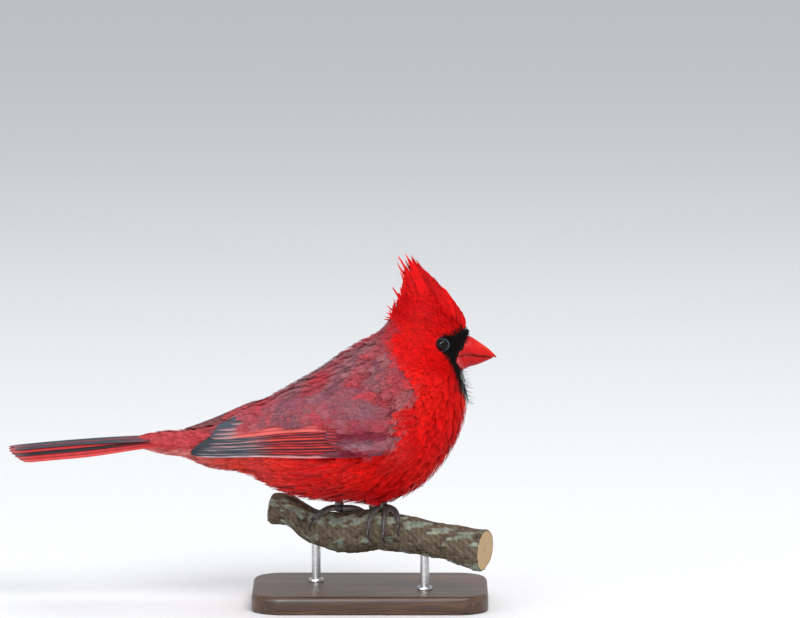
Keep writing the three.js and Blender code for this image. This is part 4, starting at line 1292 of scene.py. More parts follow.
def banded(edge, inner, tip, edge_w=1.1, tip_from=0.80, fade=0.35, rim_w=0.5):
    """Outer vane edge, inner web and tip colours of a quill."""

    def color(t, w, lat, run):
        e = smooth(edge_w + 0.25, edge_w - 0.25, lat)
        web = inner * (1 + 0.12 * np.sin(run[:, None] * 1.9 + lat))[..., None]
        c = web * (1 - e[..., None]) + edge * e[..., None]
        tp = smooth(tip_from, min(1.0, tip_from + fade), t)[..., None]
        inner_tip = tip * (1 - 0.55 * e[..., None]) + edge * 0.55 * e[..., None]
        c = c * (1 - tp) + inner_tip * tp
        rim = smooth(0.955, 1.0, t)[..., None] * rim_w
        c = c * (1 - rim) + EDGE_PINK * rim
        shaft = np.exp(-(((w - 0.27) / 0.05) ** 2))[..., None] * 0.5
        c = c * (1 - shaft) + DUSK_DARK * shaft
        rt = smooth(0.62, 0.30, t)[..., None] * (0.0 if rim_w else 1.0)
        return c * (1 - rt) + mixc(PLUM, WINE, 0.4) * rt

    return color


def quill_color(tipx, k):
    """Coral edge and dark purple web near the coverts; pale edge and grey-blue web toward the tip."""

    def color(t, w, lat, run):
        x = 6 + (tipx - 6) * t
        far = smooth(-40, -56, x)[..., None]
        wide = (0.92 + 0.14 * math.sin(k * 2.3)) - 0.52 * smooth(-38, -58, x) + 0.06 * np.sin(x * 0.5 + k * 1.7)
        e = smooth(wide + 0.16, wide - 0.16, lat)[..., None]
        ripple = (1 + 0.12 * np.sin(run[:, None] * 1.9 + lat))[..., None]
        web = (mixc(DUSK_DARK, WINE, 0.22) * (1 - far) + mixc(DUSK_BLUE, DUSK_DARK, 0.45) * far) * ripple
        line = mixc(EDGE_RED, srgb(206, 40, 44), 0.5 + 0.4 * math.sin(k * 1.9)) * (1 - far) + (mixc(EDGE_PALE, EDGE_PINK, 0.5) if k < 5 else EDGE_PINK) * far
        if k == 0:
            line = EDGE_PALE * 1.1 * far + mixc(EDGE_RED, EDGE_PALE, 0.5) * (1 - far)
        c = web * (1 - e) + line * e
        # a dark line just past the pale edge: partly the darker web, partly painted shade cast by the quill lying over
        # this one
        edge_shade_line = np.exp(-(((lat - wide - 0.3) / 0.16) ** 2))[..., None] * 0.6
        c = c * (1 - edge_shade_line) + DUSK_DARK * 0.6 * edge_shade_line
        dark_tip = smooth(0.93, 1.0, t)[..., None] * 0.5
        return c * (1 - dark_tip) + DUSK_DARK * dark_tip

    return color


def tertial_color(tipx, k):
    def color(t, w, lat, run):
        wide = 1.25 - 0.5 * smooth(0.75, 1.0, t)
        e = smooth(wide + 0.5, wide - 0.3, lat)[..., None]
        ripple = (1 + 0.14 * np.sin(run[:, None] * 1.6 + lat * 2))[..., None]
        web = mixc(MANTLE_RED, PLUM, 0.35) * ripple
        tip = smooth(0.80, 0.90, t)[..., None]
        web = web * (1 - tip) + mixc(DUSK_BLUE, DUSK_DARK, 0.25) * tip
        line = mixc(EDGE_RED, EDGE_PINK, 0.25) * (1 - tip) + mixc(EDGE_PINK, DUSK_BLUE, 0.4) * tip
        c = web * (1 - e) + line * e
        # a dark line just past the rosy edge: partly the darker web, partly painted shade cast by the feather lying
        # over this one
        edge_shade_line = np.exp(-(((lat - wide - 0.55) / 0.22) ** 2))[..., None] * 0.5
        return c * (1 - edge_shade_line) + mixc(WINE, DUSK_DARK, 0.6) * edge_shade_line

    return color


def inside_color(side):
    """The face of the wing turned to the body: pinkish grey above a dark band, partly the quills' dark inner webs and
    partly painted shade.
    """
    e = WING_EDGE[side][::-1]

    def color(P):
        x, z = P[:, 0], P[:, 2]
        lo, hi = np.interp(x, e[:, 0], e[:, 1]), np.interp(x, e[:, 0], e[:, 2])
        f = (z - lo) / np.maximum(hi - lo, 2.0)
        fb = np.interp(x, [-82, -76, -68, -56, -50], [0.85, 0.52, 0.45, 0.60, 0.60])
        # painted shade over dark inner webs: a near-black band low on the inner face toward the rear
        dark = smooth(fb + 0.06, fb, f) * smooth(-48, -55, x)
        soft = mixc(np.tile(mixc(EDGE_PINK, MANTLE, 0.5), (len(P), 1)), MANTLE, np.clip(0.5 + 0.5 * np.sin(x * 1.3 + z * 2.1), 0, 1))
        return mixc(soft, DUSK_DARK * 0.9, dark)

    return color


def make_wing(side, swell, sn):
    ch = WingChart(side, swell)
    out = Blades("quills_wing_" + sn, 30)
    layer = 0
    inner = inside_color(side)
    # long quills, outermost first; each lies over the one before it: coral edges near the coverts, pale ones at the tips
    for k in range(9):
        tipx = (-78.9, -79.0, -78.2, -77.0, -75.6, -74.2, -72.8, -71.4, -70.2)[k]
        tipz = 66.0 + 0.92 * k
        w1, w2, w3 = rng.normal(0, 0.10, 3) * (k > 0)
        ch.blade(out, [tipx, -63, -52, -30, -8, 6], [tipz, 66.6 + 0.98 * k + w1, 67.3 + 1.02 * k + w2, 68.0 + 1.28 * k + w3, 69.4 + 1.28 * k + w3, 71.0 + 1.1 * k], lambda t: 6.4 * (1 - 0.25 * t) * (0.4 + 0.6 * smooth(0, 0.2, t)), lambda t, o=0.15 + 0.09 * layer: o + 0.0 * t,
                 quill_color(tipx, k), K=44, M=13, round_tip=0.10, under=inner)
        layer += 1
    # tertials: broad soft vanes with rosy edges and grey-blue tips
    for k in range(4):
        tipx = (-70.5, -69.6, -68.2, -62.0)[k]
        tipz = (73.8, 75.6, 77.6, 80.4)[k]
        z52, z30, z8 = (76.4, 77.9, 79.6, 81.9)[k], (79.6, 81.2, 82.8, 84.6)[k], (80.6, 82.4, 84.0, 85.8)[k]
        ch.blade(out, [tipx, -52, -30, -8, 6], [tipz, z52, z30, z8, z8 + 1.4], lambda t: 5.4 * (1 - 0.12 * t) * (0.4 + 0.6 * smooth(0, 0.25, t)), lambda t, o=0.2 + 0.10 * layer: o + 0.0 * t,
                 tertial_color(tipx, k), K=40, M=13, round_tip=0.13, under=inner)
        layer += 1
    # greater coverts: shorter vanes over the roots of the quills
    for k in range(12):
        z0 = 69.4 + 1.42 * k
        tipx = -13.0 - 0.78 * (z0 - 69) + rng.normal(0, 0.7)
        edge = (mixc(WINE, EDGE_RED, 0.75), EDGE_RED, mixc(WINE, EDGE_RED, 0.4))[k % 3]
        ch.blade(out, [tipx, -6, 1, 5.5], [z0 - 0.5, z0, z0 + 0.5, z0 + 0.9 - 0.10 * k], lambda t: 3.6 * (0.5 + 0.5 * smooth(0, 0.3, t)), lambda t, o=1.75 + 0.07 * k: o - 0.9 * smooth(0.45, 1.0, t),
                 banded(edge, mixc(WINE, DUSK_DARK, 0.6), mixc(PLUM, WINE, 0.4), 0.9, 0.85, 0.3, 0.0), K=22, M=11, round_tip=0.5, under=inner)
    # alula and primary coverts along the lower edge
    for k in range(5):
        tipx = -22 + 3.4 * k
        z0 = 69.0 + 0.65 * k
        ch.blade(out, [tipx, -8, 0, 5.0], [68.6 + 0.3 * k, z0, z0 + 0.7, z0 + 1.4], lambda t: 3.2 * (0.5 + 0.5 * smooth(0, 0.3, t)), lambda t, o=1.5 + 0.06 * k: o - 0.9 * smooth(0.5, 1.0, t),
                 banded(mixc(WINE, DUSK, 0.4), mixc(WINE, DUSK, 0.45), mixc(WINE, PLUM, 0.5), 0.6, 0.85, 0.2, 0.0), K=18, round_tip=0.5, under=inner)
    out.finish("flight_feathers", "wing_" + sn)

    # softer small coverts over the wrist and the front of the wing
    px, pz = [], []
    for row, (x0, step) in enumerate(((-6.5, 1.9), (-3.8, 1.6), (-1.0, 1.5), (1.8, 1.45), (4.6, 1.4), (7.2, 1.35), (9.6, 1.3), (12.0, 1.25), (14.2, 1.2), (15.8, 1.2))):
        zl, zh = np.interp(x0, WING_EDGE[-1][::-1, 0], WING_EDGE[-1][::-1, 1]) + 1.9, np.interp(x0, WING_EDGE[-1][::-1, 0], WING_EDGE[-1][::-1, 2]) + 0.5
        z = zl + 0.5 * step * (row % 2)
        while z < zh:
            px.append(x0 - 0.22 * (z - 80) + rng.normal(0, 1.0))
            pz.append(z + rng.normal(0, 0.35))
            z += step
    px, pz = np.array(px), np.array(pz)
    n = len(px)
    K = 5
    L = np.clip(8.6 - 0.12 * (px + 4), 5.6, 9) * (1 + rng.normal(0, 0.10, n))
    C = np.empty((n, K, 3))
    N = np.empty((n, K, 3))
    for k in range(K):
        t = k / (K - 1)
        x, z = px - L * t, pz - 0.10 * L * t * (1 + 0.3 * rng.normal())
        C[:, k] = ch.place(x, z, 0.2 + 1.9 * smooth(17, 7, px) + 1.4 * t - 0.6 * t * t + 0.03 * (px + 4))
        N[:, k] = ch.normal(x, z)
    T = unit(np.gradient(C, axis=1))
    R = C[:, 0]
    colr = mixc(np.tile(PLUM, (n, 1)), MANTLE_RED, np.clip(0.35 + 0.55 * waves(R, 0.4, 21), 0, 1))
    colr = mixc(colr, MANTLE, np.clip(0.3 + 0.4 * waves(R, 0.5, 22) + 0.3 * smooth(80, 90, R[:, 2]), 0, 0.8))
    zr = R[:, 2] if side < 0 else R[:, 2] - 1.5
    colr = mixc(colr, srgb(164, 124, 138), 0.62 * np.exp(-(((zr - 75.0) / 1.6) ** 2)) * smooth(-8, 2, R[:, 0]))
    band = np.exp(-(((zr - 79.6) / 1.8) ** 2)) + 1.1 * np.exp(-(((zr - 71.4) / 1.2) ** 2))
    colr = mixc(colr, WINE * 0.8, np.clip(band * 0.85 + 0.10 * waves(R, 0.6, 23), 0, 0.92))
    streak = waves(np.stack([R[:, 0] * 0.3, R[:, 1] * 0, R[:, 2]], -1), 0.9, 41)
    colr = mixc(colr, mixc(WINE, EDGE_RED, 0.35), np.clip(streak, 0, 1) * 0.35)
    small = Coat("coverts_wing_" + sn, "flight_feathers")
    plume(small, R, C, T, N, L, L * 0.21, 52, col=colr, width=L * 0.04, fringe=0.08, pointed=0.3, rough=0.05)
    small.finish()


make_wing(-1, SWELL_R, "right")
make_wing(1, SWELL_L, "left")

TAIL = dict(rootX=-70, zRoot=74.2, zTip=69.0, x0=-72, x1=-159.2, half=12.0, arch=3.6, roll=math.radians(3.5))


def tail_point(x, y, off):
    t = np.clip((x - TAIL["x0"]) / (TAIL["x1"] - TAIL["x0"]), -0.1, 1.05)
    zc = TAIL["zRoot"] + (TAIL["zTip"] - TAIL["zRoot"]) * t + 1.1 * np.sin(math.pi * np.clip(t, 0, 1))
    drop = -TAIL["arch"] * np.abs(y / TAIL["half"]) ** 1.6
    z = drop + off
    c, s_ = math.cos(TAIL["roll"]), math.sin(TAIL["roll"])
    return np.stack([x + 0 * y, y * c - z * s_, zc + y * s_ + z * c], -1)


tail_out = Blades("quills_tail", 12)
order = [(6, -1), (6, 1), (5, -1), (5, 1), (4, -1), (4, 1), (3, -1), (3, 1), (2, -1), (2, 1), (1, 1), (1, -1)]
# edge and web colours of each tail pair; pair 4 is near black, painted shade between the tail's layers over darker
# inner webs
T_EDGE = {1: srgb(176, 52, 54), 2: srgb(204, 40, 42), 3: srgb(196, 40, 44), 4: srgb(24, 14, 20), 5: srgb(196, 36, 42), 6: srgb(212, 66, 64)}
T_WEB = {1: srgb(50, 58, 68), 2: srgb(46, 34, 42), 3: srgb(120, 26, 34), 4: srgb(16, 10, 16), 5: srgb(104, 22, 30), 6: srgb(150, 40, 42)}
for level, (k, sd) in enumerate(order):
    K, M = 30, 9
    tipx = {1: -159.0, 2: -159.4, 3: -158.9, 4: -157.8, 5: -156.2, 6: -154.2}[k] + rng.normal(0, 0.2)
    t = np.linspace(0, 1, K)
    x = -74 + (tipx + 74) * t
    open_ = 0.45 + 0.55 * smooth(0, 0.7, t)
    outer = sd * (2.9 + 1.93 * (k - 1) + (0.35 if k == 1 else 0)) * open_ * (1.02 if k < 6 else 1.0)
    inner_e = outer - sd * (8.2 + 0.3 * k) * (0.5 + 0.5 * smooth(0, 0.4, t))
    cap = np.sqrt(np.clip(1 - ((t - 0.93) / 0.07).clip(0, 1) ** 2, 0.01, 1))
    mid = outer * 0.68 + inner_e * 0.32
    o2, i2 = mid + (outer - mid) * cap, mid + (inner_e - mid) * cap
    wv = np.linspace(0, 1, M)
    Y = o2[:, None] * (1 - wv) + i2[:, None] * wv
    X = x[:, None] * np.ones((1, M))
    off = -0.95 + 0.17 * level + 0.0 * Y
    grid = tail_point(X, Y, off)
    nrm = unit(np.cross(tail_point(x, mid + 0.5, 0 * x) - tail_point(x, mid - 0.5, 0 * x), tail_point(x - 1, mid, 0 * x) - tail_point(x + 1, mid, 0 * x)))
    nrm = nrm * np.sign(nrm[:, 2:3])
    lat = np.abs(o2[:, None] - Y)
    ec, wc = T_EDGE[k], T_WEB[k]

    def tail_color(t_, w_, lat_, run, ec=ec, wc=wc, k=k):
        e = smooth(*((0.7, 0.3) if k == 1 else (1.75, 1.35)), lat_)[..., None]
        e = e * (1 - 0.25 * (0.5 + 0.5 * np.sin(run[:, None] * 0.9)))[..., None]
        c = wc * (1 - e) + ec * e
        tp = smooth(0.9, 1.0, t_)[..., None] * 0.4
        c = c * (1 - tp) + EDGE_PINK * 0.7 * tp
        root = smooth(0.52, 0.12, t_)[..., None] * (0.35 if k == 1 else 0.8)
        c = c * (1 - root) + srgb(192, 40, 46) * root
        sh = np.exp(-(((w_ - 0.32) / 0.045) ** 2))[..., None] * 0.6
        return c * (1 - sh) + DUSK_DARK * sh

    tail_out.add_grid(grid, nrm, tail_color, lat, np.abs(o2 - mid), 0.26, 0.32)
tail_out.finish("flight_feathers", "tail")

# ---------------------------------------------------------------- scapulars: long soft feathers over the wing's upper edge
def scapulars(side, sn, swell):
    ch = WingChart(side, swell)
    e = WING_EDGE[-1][::-1]
    px, pz = [], []
    for row, drop in enumerate((8.4, 6.6, 4.6, 2.6, 0.6, -1.6, -3.4) if side < 0 else (6.0, 4.2, 2.4)):
        x = 11.0 - row * 1.1
        while x > (-50 if drop < 4 else (-30 if drop < 6 else (-12 if drop < 8 else -4))):
            hi = np.interp(x, e[:, 0], e[:, 2])
            px.append(x + rng.normal(0, 0.5))
            pz.append(hi - drop + rng.normal(0, 0.3))
            x -= 2.5
    px, pz = np.array(px), np.array(pz)
    n, K = len(px), 6
    L = (12.5 + rng.normal(0, 1.0, n)) * (1 - 0.25 * smooth(-20, -45, px))
    C, N = np.empty((n, K, 3)), np.empty((n, K, 3))
    dz = 0.30 + rng.normal(0, 0.05, n)
    for k in range(K):
        t = k / (K - 1)
        x, z = px - L * t, pz - dz * L * t
        C[:, k] = ch.place(x, z, 1.2 + 1.9 * t - 0.7 * t * t + rng.normal(0, 0.05))
        N[:, k] = ch.normal(x, z)
    T = unit(np.gradient(C, axis=1))
    R = C[:, 0]
    c = mixc(np.tile(MANTLE, (n, 1)), MANTLE_RED, np.clip(0.40 + 0.6 * waves(R, 0.35, 31), 0, 0.95))
    c = mixc(c, PLUM, np.clip(0.3 + 0.5 * waves(R, 0.5, 33), 0, 0.7))
    c = mixc(c, ROSE, 0.45 * smooth(-35, -55, px))
    coat = Coat("scapulars_" + sn, "plumage")
    plume(coat, R, C, T, N, L, L * 0.24, 56, col=c, width=L * 0.042, fringe=0.06)
    # the same feathers roll over the wing's upper edge toward the back
    e2 = WING_EDGE[side][::-1]
    px, pz = [], []
    for row, drop in enumerate((2.6, 4.2, 5.8, 7.6)):
        x = 4.0 - row
        while x > (-55 if side > 0 and drop < 5 else -50):
            px.append(x + rng.normal(0, 0.5))
            pz.append(np.interp(x, e2[:, 0], e2[:, 2]) - drop + rng.normal(0, 0.3))
            x -= 2.6
    px, pz = np.array(px), np.array(pz)
    n = len(px)
    L = 11.5 + rng.normal(0, 0.9, n)
    C, N = np.empty((n, K, 3)), np.empty((n, K, 3))
    for k in range(K):
        t = k / (K - 1)
        x = px - L * t
        z = pz + (np.interp(x, e2[:, 0], e2[:, 2]) - np.interp(px, e2[:, 0], e2[:, 2])) * 0.95
        w = ch.width(x, z)
        C[:, k] = np.stack([x, side * (w - 0.9 - 0.7 * t), z], -1)
        N[:, k] = np.stack([0 * x, np.full(n, -side * 0.9), np.full(n, 0.45)], -1)
    T = unit(np.gradient(C, axis=1))
    N = unit(N - (N * T).sum(-1, keepdims=True) * T)
    R = C[:, 0]
    c = mixc(np.tile(MANTLE, (n, 1)), MANTLE_RED, np.clip(0.35 + 0.6 * waves(R, 0.35, 35), 0, 0.9))
    c = mixc(c, ROSE, 0.5 * smooth(-30, -52, px))
    plume(coat, R, C, T, N, L, L * 0.24, 50, col=c, width=L * 0.042, fringe=0.06)
    coat.finish()


def breast_over_wing(side, sn, swell):
    """Red feathers of the breast that fall raggedly over the front of the closed wing, with pale tips."""
    ch = WingChart(side, swell)
    px, pz = [], []
    for row, x0 in enumerate(np.arange(21.0, 4.0, -1.5)):
        z = 66.0 + 0.6 * (row % 2)
        while z < 90.5:
            back = np.interp(z, [66, 69, 72, 75.5, 79, 86, 90.5], [8.0, 10.5, 13.0, 16.4, 17.2, 16.5, 18.6])
            if x0 > back + rng.normal(0, 0.9):
                px.append(x0 + rng.normal(0, 0.7))
                pz.append(z + rng.normal(0, 0.35))
            z += 1.3
    px, pz = np.array(px), np.array(pz)
    n, K = len(px), 6
    L = np.clip(7.6 + rng.normal(0, 1.3, n), 4.6, 10.5) 
    tilt = np.arctan(0.06 + 0.85 * smooth(88, 69, pz) + rng.normal(0, 0.10, n))
    C, N = np.empty((n, K, 3)), np.empty((n, K, 3))
    for k in range(K):
        t = k / (K - 1)
        x, z = px - L * t * np.cos(tilt), pz - L * t * np.sin(tilt)
        C[:, k] = ch.place(x, z, 0.45 + 1.9 * smooth(17, 7, px) + ((2.9 - 1.2 * smooth(17, 7, px)) * t - 0.7 * t * t) * (0.15 + 0.85 * smooth(67.5, 73, pz)) - 1.5 * t * smooth(73, 69, pz) + rng.normal(0, 0.05))
        N[:, k] = ch.normal(x, z)
    T = unit(np.gradient(C, axis=1))
    N = unit(N - (N * T).sum(-1, keepdims=True) * T)
    R = C[:, 0]
    c = markings(R + np.array([7.0, 0, 0])) * 0.9
    fr = 0.12 + smooth(21.5, 18.5, px) * (0.55 * np.exp(-(((pz - 87.0) / 4.5) ** 2)) + 0.22 * np.exp(-(((pz - 75.0) / 5.0) ** 2)))
    coat = Coat("coat_shoulder_" + sn)
    plume(coat, R, C, T, N, L, L * 0.25, 54, col=c, width=L * 0.030, fringe=fr, pointed=0.6, rough=0.05, vary=0.08)
    coat.finish()


breast_over_wing(-1, "right", SWELL_R)
breast_over_wing(1, "left", SWELL_L)
scapulars(-1, "right", SWELL_R)
scapulars(1, "left", SWELL_L)

# ---------------------------------------------------------------- perch, feet
PERCH = dict(yaw=math.radians(-25), a=-43.0, b=60.0, midX=-4.0)
PLINE = np.array([(-43, 39.5, 7.2), (-33, 37.6, 6.6), (-23, 33.0, 8.0), (-12, 31.0, 9.0), (0, 31.6, 9.4), (11, 33.2, 8.6), (24, 31.8, 8.2), (38, 30.2, 8.2), (52, 28.4, 8.8), (60, 27.6, 9.2)])


def on_perch(s_, ang, over, knobs=False):
    s_, ang = np.broadcast_arrays(np.asarray(s_, float), np.asarray(ang, float))
    zc = cubic(PLINE[:, 0], PLINE[:, 1], s_)
    dz = (cubic(PLINE[:, 0], PLINE[:, 1], s_ + 0.5) - cubic(PLINE[:, 0], PLINE[:, 1], s_ - 0.5))
    r = cubic(PLINE[:, 0], PLINE[:, 2], s_)
    r = r + 0.35 * np.sin(2 * ang + 0.11 * s_) + 0.22 * np.sin(3 * ang - 0.17 * s_ + 1) + 0.25 * np.sin(0.31 * s_ + ang)
    tilt = np.arctan(dz)
    r = r + over
    side, up = r * np.sin(ang), r * np.cos(ang)
    along, z = s_ - up * np.sin(tilt), zc + up * np.cos(tilt)
    c, sn_ = math.cos(PERCH["yaw"]), math.sin(PERCH["yaw"])
    return np.stack([PERCH["midX"] + along * c - side * sn_, along * sn_ + side * c, z], -1)


def lump(x, seed, f):
    r = np.random.default_rng(seed)
    t = 0
    for i in range(7):
        k = r.normal(size=x.shape[-1]) * f * (1 + 0.45 * i)
        t = t + np.sin(x @ k + r.uniform(0, 6.28)) / (1 + 0.5 * i)
    return t / 3.0


NS, NA = ((340, 170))
sg, ag = np.meshgrid(np.linspace(PERCH["a"], PERCH["b"], NS), np.linspace(0, 2 * math.pi, NA, endpoint=False), indexing="ij")
cyl = np.stack([sg * 0.55, 8 * np.cos(ag), 8 * np.sin(ag)], -1)
feet_hold = np.exp(-(((sg - 0.0) / 26.0) ** 2)) * smooth(2.1, 0.9, np.minimum(ag, 2 * math.pi - ag))
ridge = lump(cyl * np.array([0.5, 1, 1]), 4, 0.55)
fine = lump(cyl, 8, 1.5)
scab = smooth(0.05, 0.45, lump(cyl, 12, 0.42) + 0.35 * lump(cyl, 14, 1.3))
crumb = lump(cyl, 15, 3.2)
rough = -0.42 * smooth(0.1, 0.9, np.abs(ridge)) + 0.14 * fine + scab * (0.34 + 0.22 * np.abs(crumb) + 0.10 * fine)
knob = 1.7 * np.exp(-(((sg + 37) / 3.2) ** 2)) * np.exp(-(((ag - 0.9) / 0.6) ** 2)) + 1.5 * np.exp(-(((sg - 33) / 3.0) ** 2)) * np.exp(-(((ag - 4.9) / 0.45) ** 2)) + 1.2 * np.exp(-(((sg - 50) / 2.4) ** 2)) * np.exp(-(((ag - 1.2) / 0.5) ** 2))
end = np.minimum(smooth(PERCH["a"], PERCH["a"] + 1.2, sg), smooth(PERCH["b"], PERCH["b"] - 1.2, sg))
PP = on_perch(sg, ag, rough * (1 - 0.7 * feet_hold) - 0.15 + knob - 0.5 * (1 - end))
ii, jj = np.meshgrid(np.arange(NS - 1), np.arange(NA), indexing="ij")
aa = (ii * NA + jj).ravel()
bb = (ii * NA + (jj + 1) % NA).ravel()
pq = np.stack([aa, bb, bb + NA, aa + NA], -1)
pv = PP.reshape(-1, 3)
pcol = mixc(np.tile(srgb(112, 100, 84), (len(pv), 1)), srgb(78, 66, 54), np.clip(0.5 + 0.6 * fine.ravel(), 0, 1))
pcol = mixc(pcol, srgb(38, 31, 26), np.clip((smooth(0.3, 0.95, np.abs(ridge)) * (1 - 0.8 * scab)).ravel() * 0.85, 0, 1))
lich = mixc(np.tile(srgb(150, 158, 144), (len(pv), 1)), srgb(116, 132, 118), np.clip(0.5 + 0.8 * lump(cyl, 17, 0.5).ravel(), 0, 1))
lich = mixc(lich, srgb(176, 176, 140), smooth(0.4, 0.9, lump(cyl, 19, 0.8)).ravel() * 0.7)
pcol = mixc(pcol, lich, np.clip(scab.ravel() * (0.80 + 0.25 * crumb.ravel()), 0, 1))


def bark_mat(nt, b):
    col = node(nt, "ShaderNodeVertexColor", layer_name="Col")
    tc = node(nt, "ShaderNodeTexCoord")
    n1 = node(nt, "ShaderNodeTexNoise", Scale=420.0, Detail=6.0, Roughness=0.7)
    n2 = node(nt, "ShaderNodeTexVoronoi", Scale=520.0)
    nt.links.new(tc.outputs["Object"], n1.inputs["Vector"])
    nt.links.new(tc.outputs["Object"], n2.inputs["Vector"])
    g = ramp(nt, n1.outputs["Fac"], [(0.3, (0.55, 0.55, 0.55)), (0.7, (1.25, 1.25, 1.22))])
    g2 = ramp(nt, n2.outputs["Distance"], [(0.0, (0.78, 0.78, 0.76)), (0.6, (1.08, 1.08, 1.08))])
    nt.links.new(mult(nt, mult(nt, col.outputs["Color"], g), g2), b.inputs["Base Color"])
    bump = node(nt, "ShaderNodeBump", Strength=0.8, Distance=0.0005)
    nt.links.new(n1.outputs["Fac"], bump.inputs["Height"])
    nt.links.new(bump.outputs["Normal"], b.inputs["Normal"])
    b.inputs["Roughness"].default_value = 0.92
    b.inputs["Specular IOR Level"].default_value = 0.15


MAT_BARK = material("bark_lichen", bark_mat)
po, _ = new_object("perch_bark", pv, pq)
put_color(po, pcol)
done(po, MAT_BARK, "bark", "perch")


def cut_mat(nt, b):
    col = node(nt, "ShaderNodeVertexColor", layer_name="Col")
    tc = node(nt, "ShaderNodeTexCoord")
    n1 = node(nt, "ShaderNodeTexNoise", Scale=1500.0, Detail=3.0)
    nt.links.new(tc.outputs["Object"], n1.inputs["Vector"])
    g = ramp(nt, n1.outputs["Fac"], [(0.3, (0.82, 0.82, 0.82)), (0.7, (1.08, 1.08, 1.08))])
    nt.links.new(mult(nt, col.outputs["Color"], g), b.inputs["Base Color"])
    b.inputs["Roughness"].default_value = 0.75


MAT_CUT = material("cut_wood", cut_mat)
for e_i, nm in ((0, "left"), (NS - 1, "right")):
    rim = PP[e_i]
    cen = rim.mean(0)
    NR = 60
    rr = np.linspace(1, 0.02, NR)[:, None, None]
    V = cen + (rim - cen)[None] * rr
    cc = np.tile(srgb(196, 168, 128), (NR, NA, 1))
    rings = 0.5 + 0.5 * np.sin(rr[:, :, 0] * 52 + 0.9 * np.sin(ag[0][None] * 2 + 1) + 0.4 * np.sin(ag[0][None] * 5))
    cc = mixc(cc, srgb(140, 100, 62), np.clip(rings**2 * 0.75, 0, 1))
    cc = mixc(cc, srgb(96, 66, 42), smooth(0.10, 0.03, rr[:, :, 0]) * np.ones((1, NA)) * 0.8)
    cc = mixc(cc, srgb(74, 58, 44), smooth(0.93, 0.985, rr[:, :, 0]) * np.ones((1, NA)))
    V = V.reshape(-1, 3)
    i3, j3 = np.meshgrid(np.arange(NR - 1), np.arange(NA), indexing="ij")
    a3 = (i3 * NA + j3).ravel()
    b3 = (i3 * NA + (j3 + 1) % NA).ravel()
    q3 = np.stack([a3, b3, b3 + NA, a3 + NA], -1)
    if e_i == 0:
        q3 = q3[:, ::-1]
    V = np.concatenate([V, cen[None]])
    last = (NR - 1) * NA
    t3 = np.array([(last + j, last + (j + 1) % NA, len(V) - 1) for j in range(NA)])
    if e_i == 0:
        t3 = t3[:, ::-1]
    co, _ = new_object("perch_cut_" + nm, V, [q3, t3])
    put_color(co, np.concatenate([cc.reshape(-1, 3), cc.reshape(-1, 3)[-1:]]))
    done(co, MAT_CUT, "bark")


def scale_mat(nt, b):
    col = node(nt, "ShaderNodeVertexColor", layer_name="Col")
    tc = node(nt, "ShaderNodeTexCoord")
    n1 = node(nt, "ShaderNodeTexVoronoi", Scale=1700.0)
    nt.links.new(tc.outputs["Object"], n1.inputs["Vector"])
    g = ramp(nt, n1.outputs["Distance"], [(0.0, (1.12, 1.12, 1.12)), (0.7, (0.7, 0.7, 0.7))])
    nt.links.new(mult(nt, col.outputs["Color"], g), b.inputs["Base Color"])
    bump = node(nt, "ShaderNodeBump", Strength=0.35, Distance=0.0002)
    bump.invert = True
    nt.links.new(n1.outputs["Distance"], bump.inputs["Height"])
    nt.links.new(bump.outputs["Normal"], b.inputs["Normal"])
    b.inputs["Roughness"].default_value = 0.5


def claw_mat(nt, b):
    tc = node(nt, "ShaderNodeTexCoord")
    n1 = node(nt, "ShaderNodeTexNoise", Scale=900.0, Detail=3.0)
    nt.links.new(tc.outputs["Object"], n1.inputs["Vector"])
    nt.links.new(ramp(nt, n1.outputs["Fac"], [(0.3, (0.012, 0.010, 0.010)), (0.75, (0.05, 0.04, 0.036))]), b.inputs["Base Color"])
    b.inputs["Roughness"].default_value = 0.3


MAT_LEG = material("leg_scales", scale_mat)
MAT_CLAW = material("claw_horn", claw_mat)


def tube(P, rad, sides, top_dir=None):
    """Closed tube; rad(t, a) gives its radius, a = 0 on the side of top_dir."""
    K = len(P)
    T = unit(np.gradient(P, axis=0))
    up = np.array([0, 0, 1.0]) if top_dir is None else top_dir
    up = np.broadcast_to(up, P.shape)
    U = unit(up - (up * T).sum(-1, keepdims=True) * T)
    W = np.cross(T, U)
    a = np.linspace(0, 2 * math.pi, sides, endpoint=False)
    t = np.linspace(0, 1, K)
    r = rad(t[:, None], a[None, :])
    V = P[:, None] + (U[:, None] * np.cos(a)[None, :, None] + W[:, None] * np.sin(a)[None, :, None]) * r[..., None]
    i, j = np.meshgrid(np.arange(K - 1), np.arange(sides), indexing="ij")
    x = (i * sides + j).ravel()
    y = (i * sides + (j + 1) % sides).ravel()
    q = np.stack([x, y, y + sides, x + sides], -1)
    V = np.concatenate([V.reshape(-1, 3), P[:1], P[-1:]])
    n = len(V)
    tri = [(n - 2, (j + 1) % sides, j) for j in range(sides)] + [(n - 1, (K - 1) * sides + j, (K - 1) * sides + (j + 1) % sides) for j in range(sides)]
    return V, q, np.array(tri), t, a


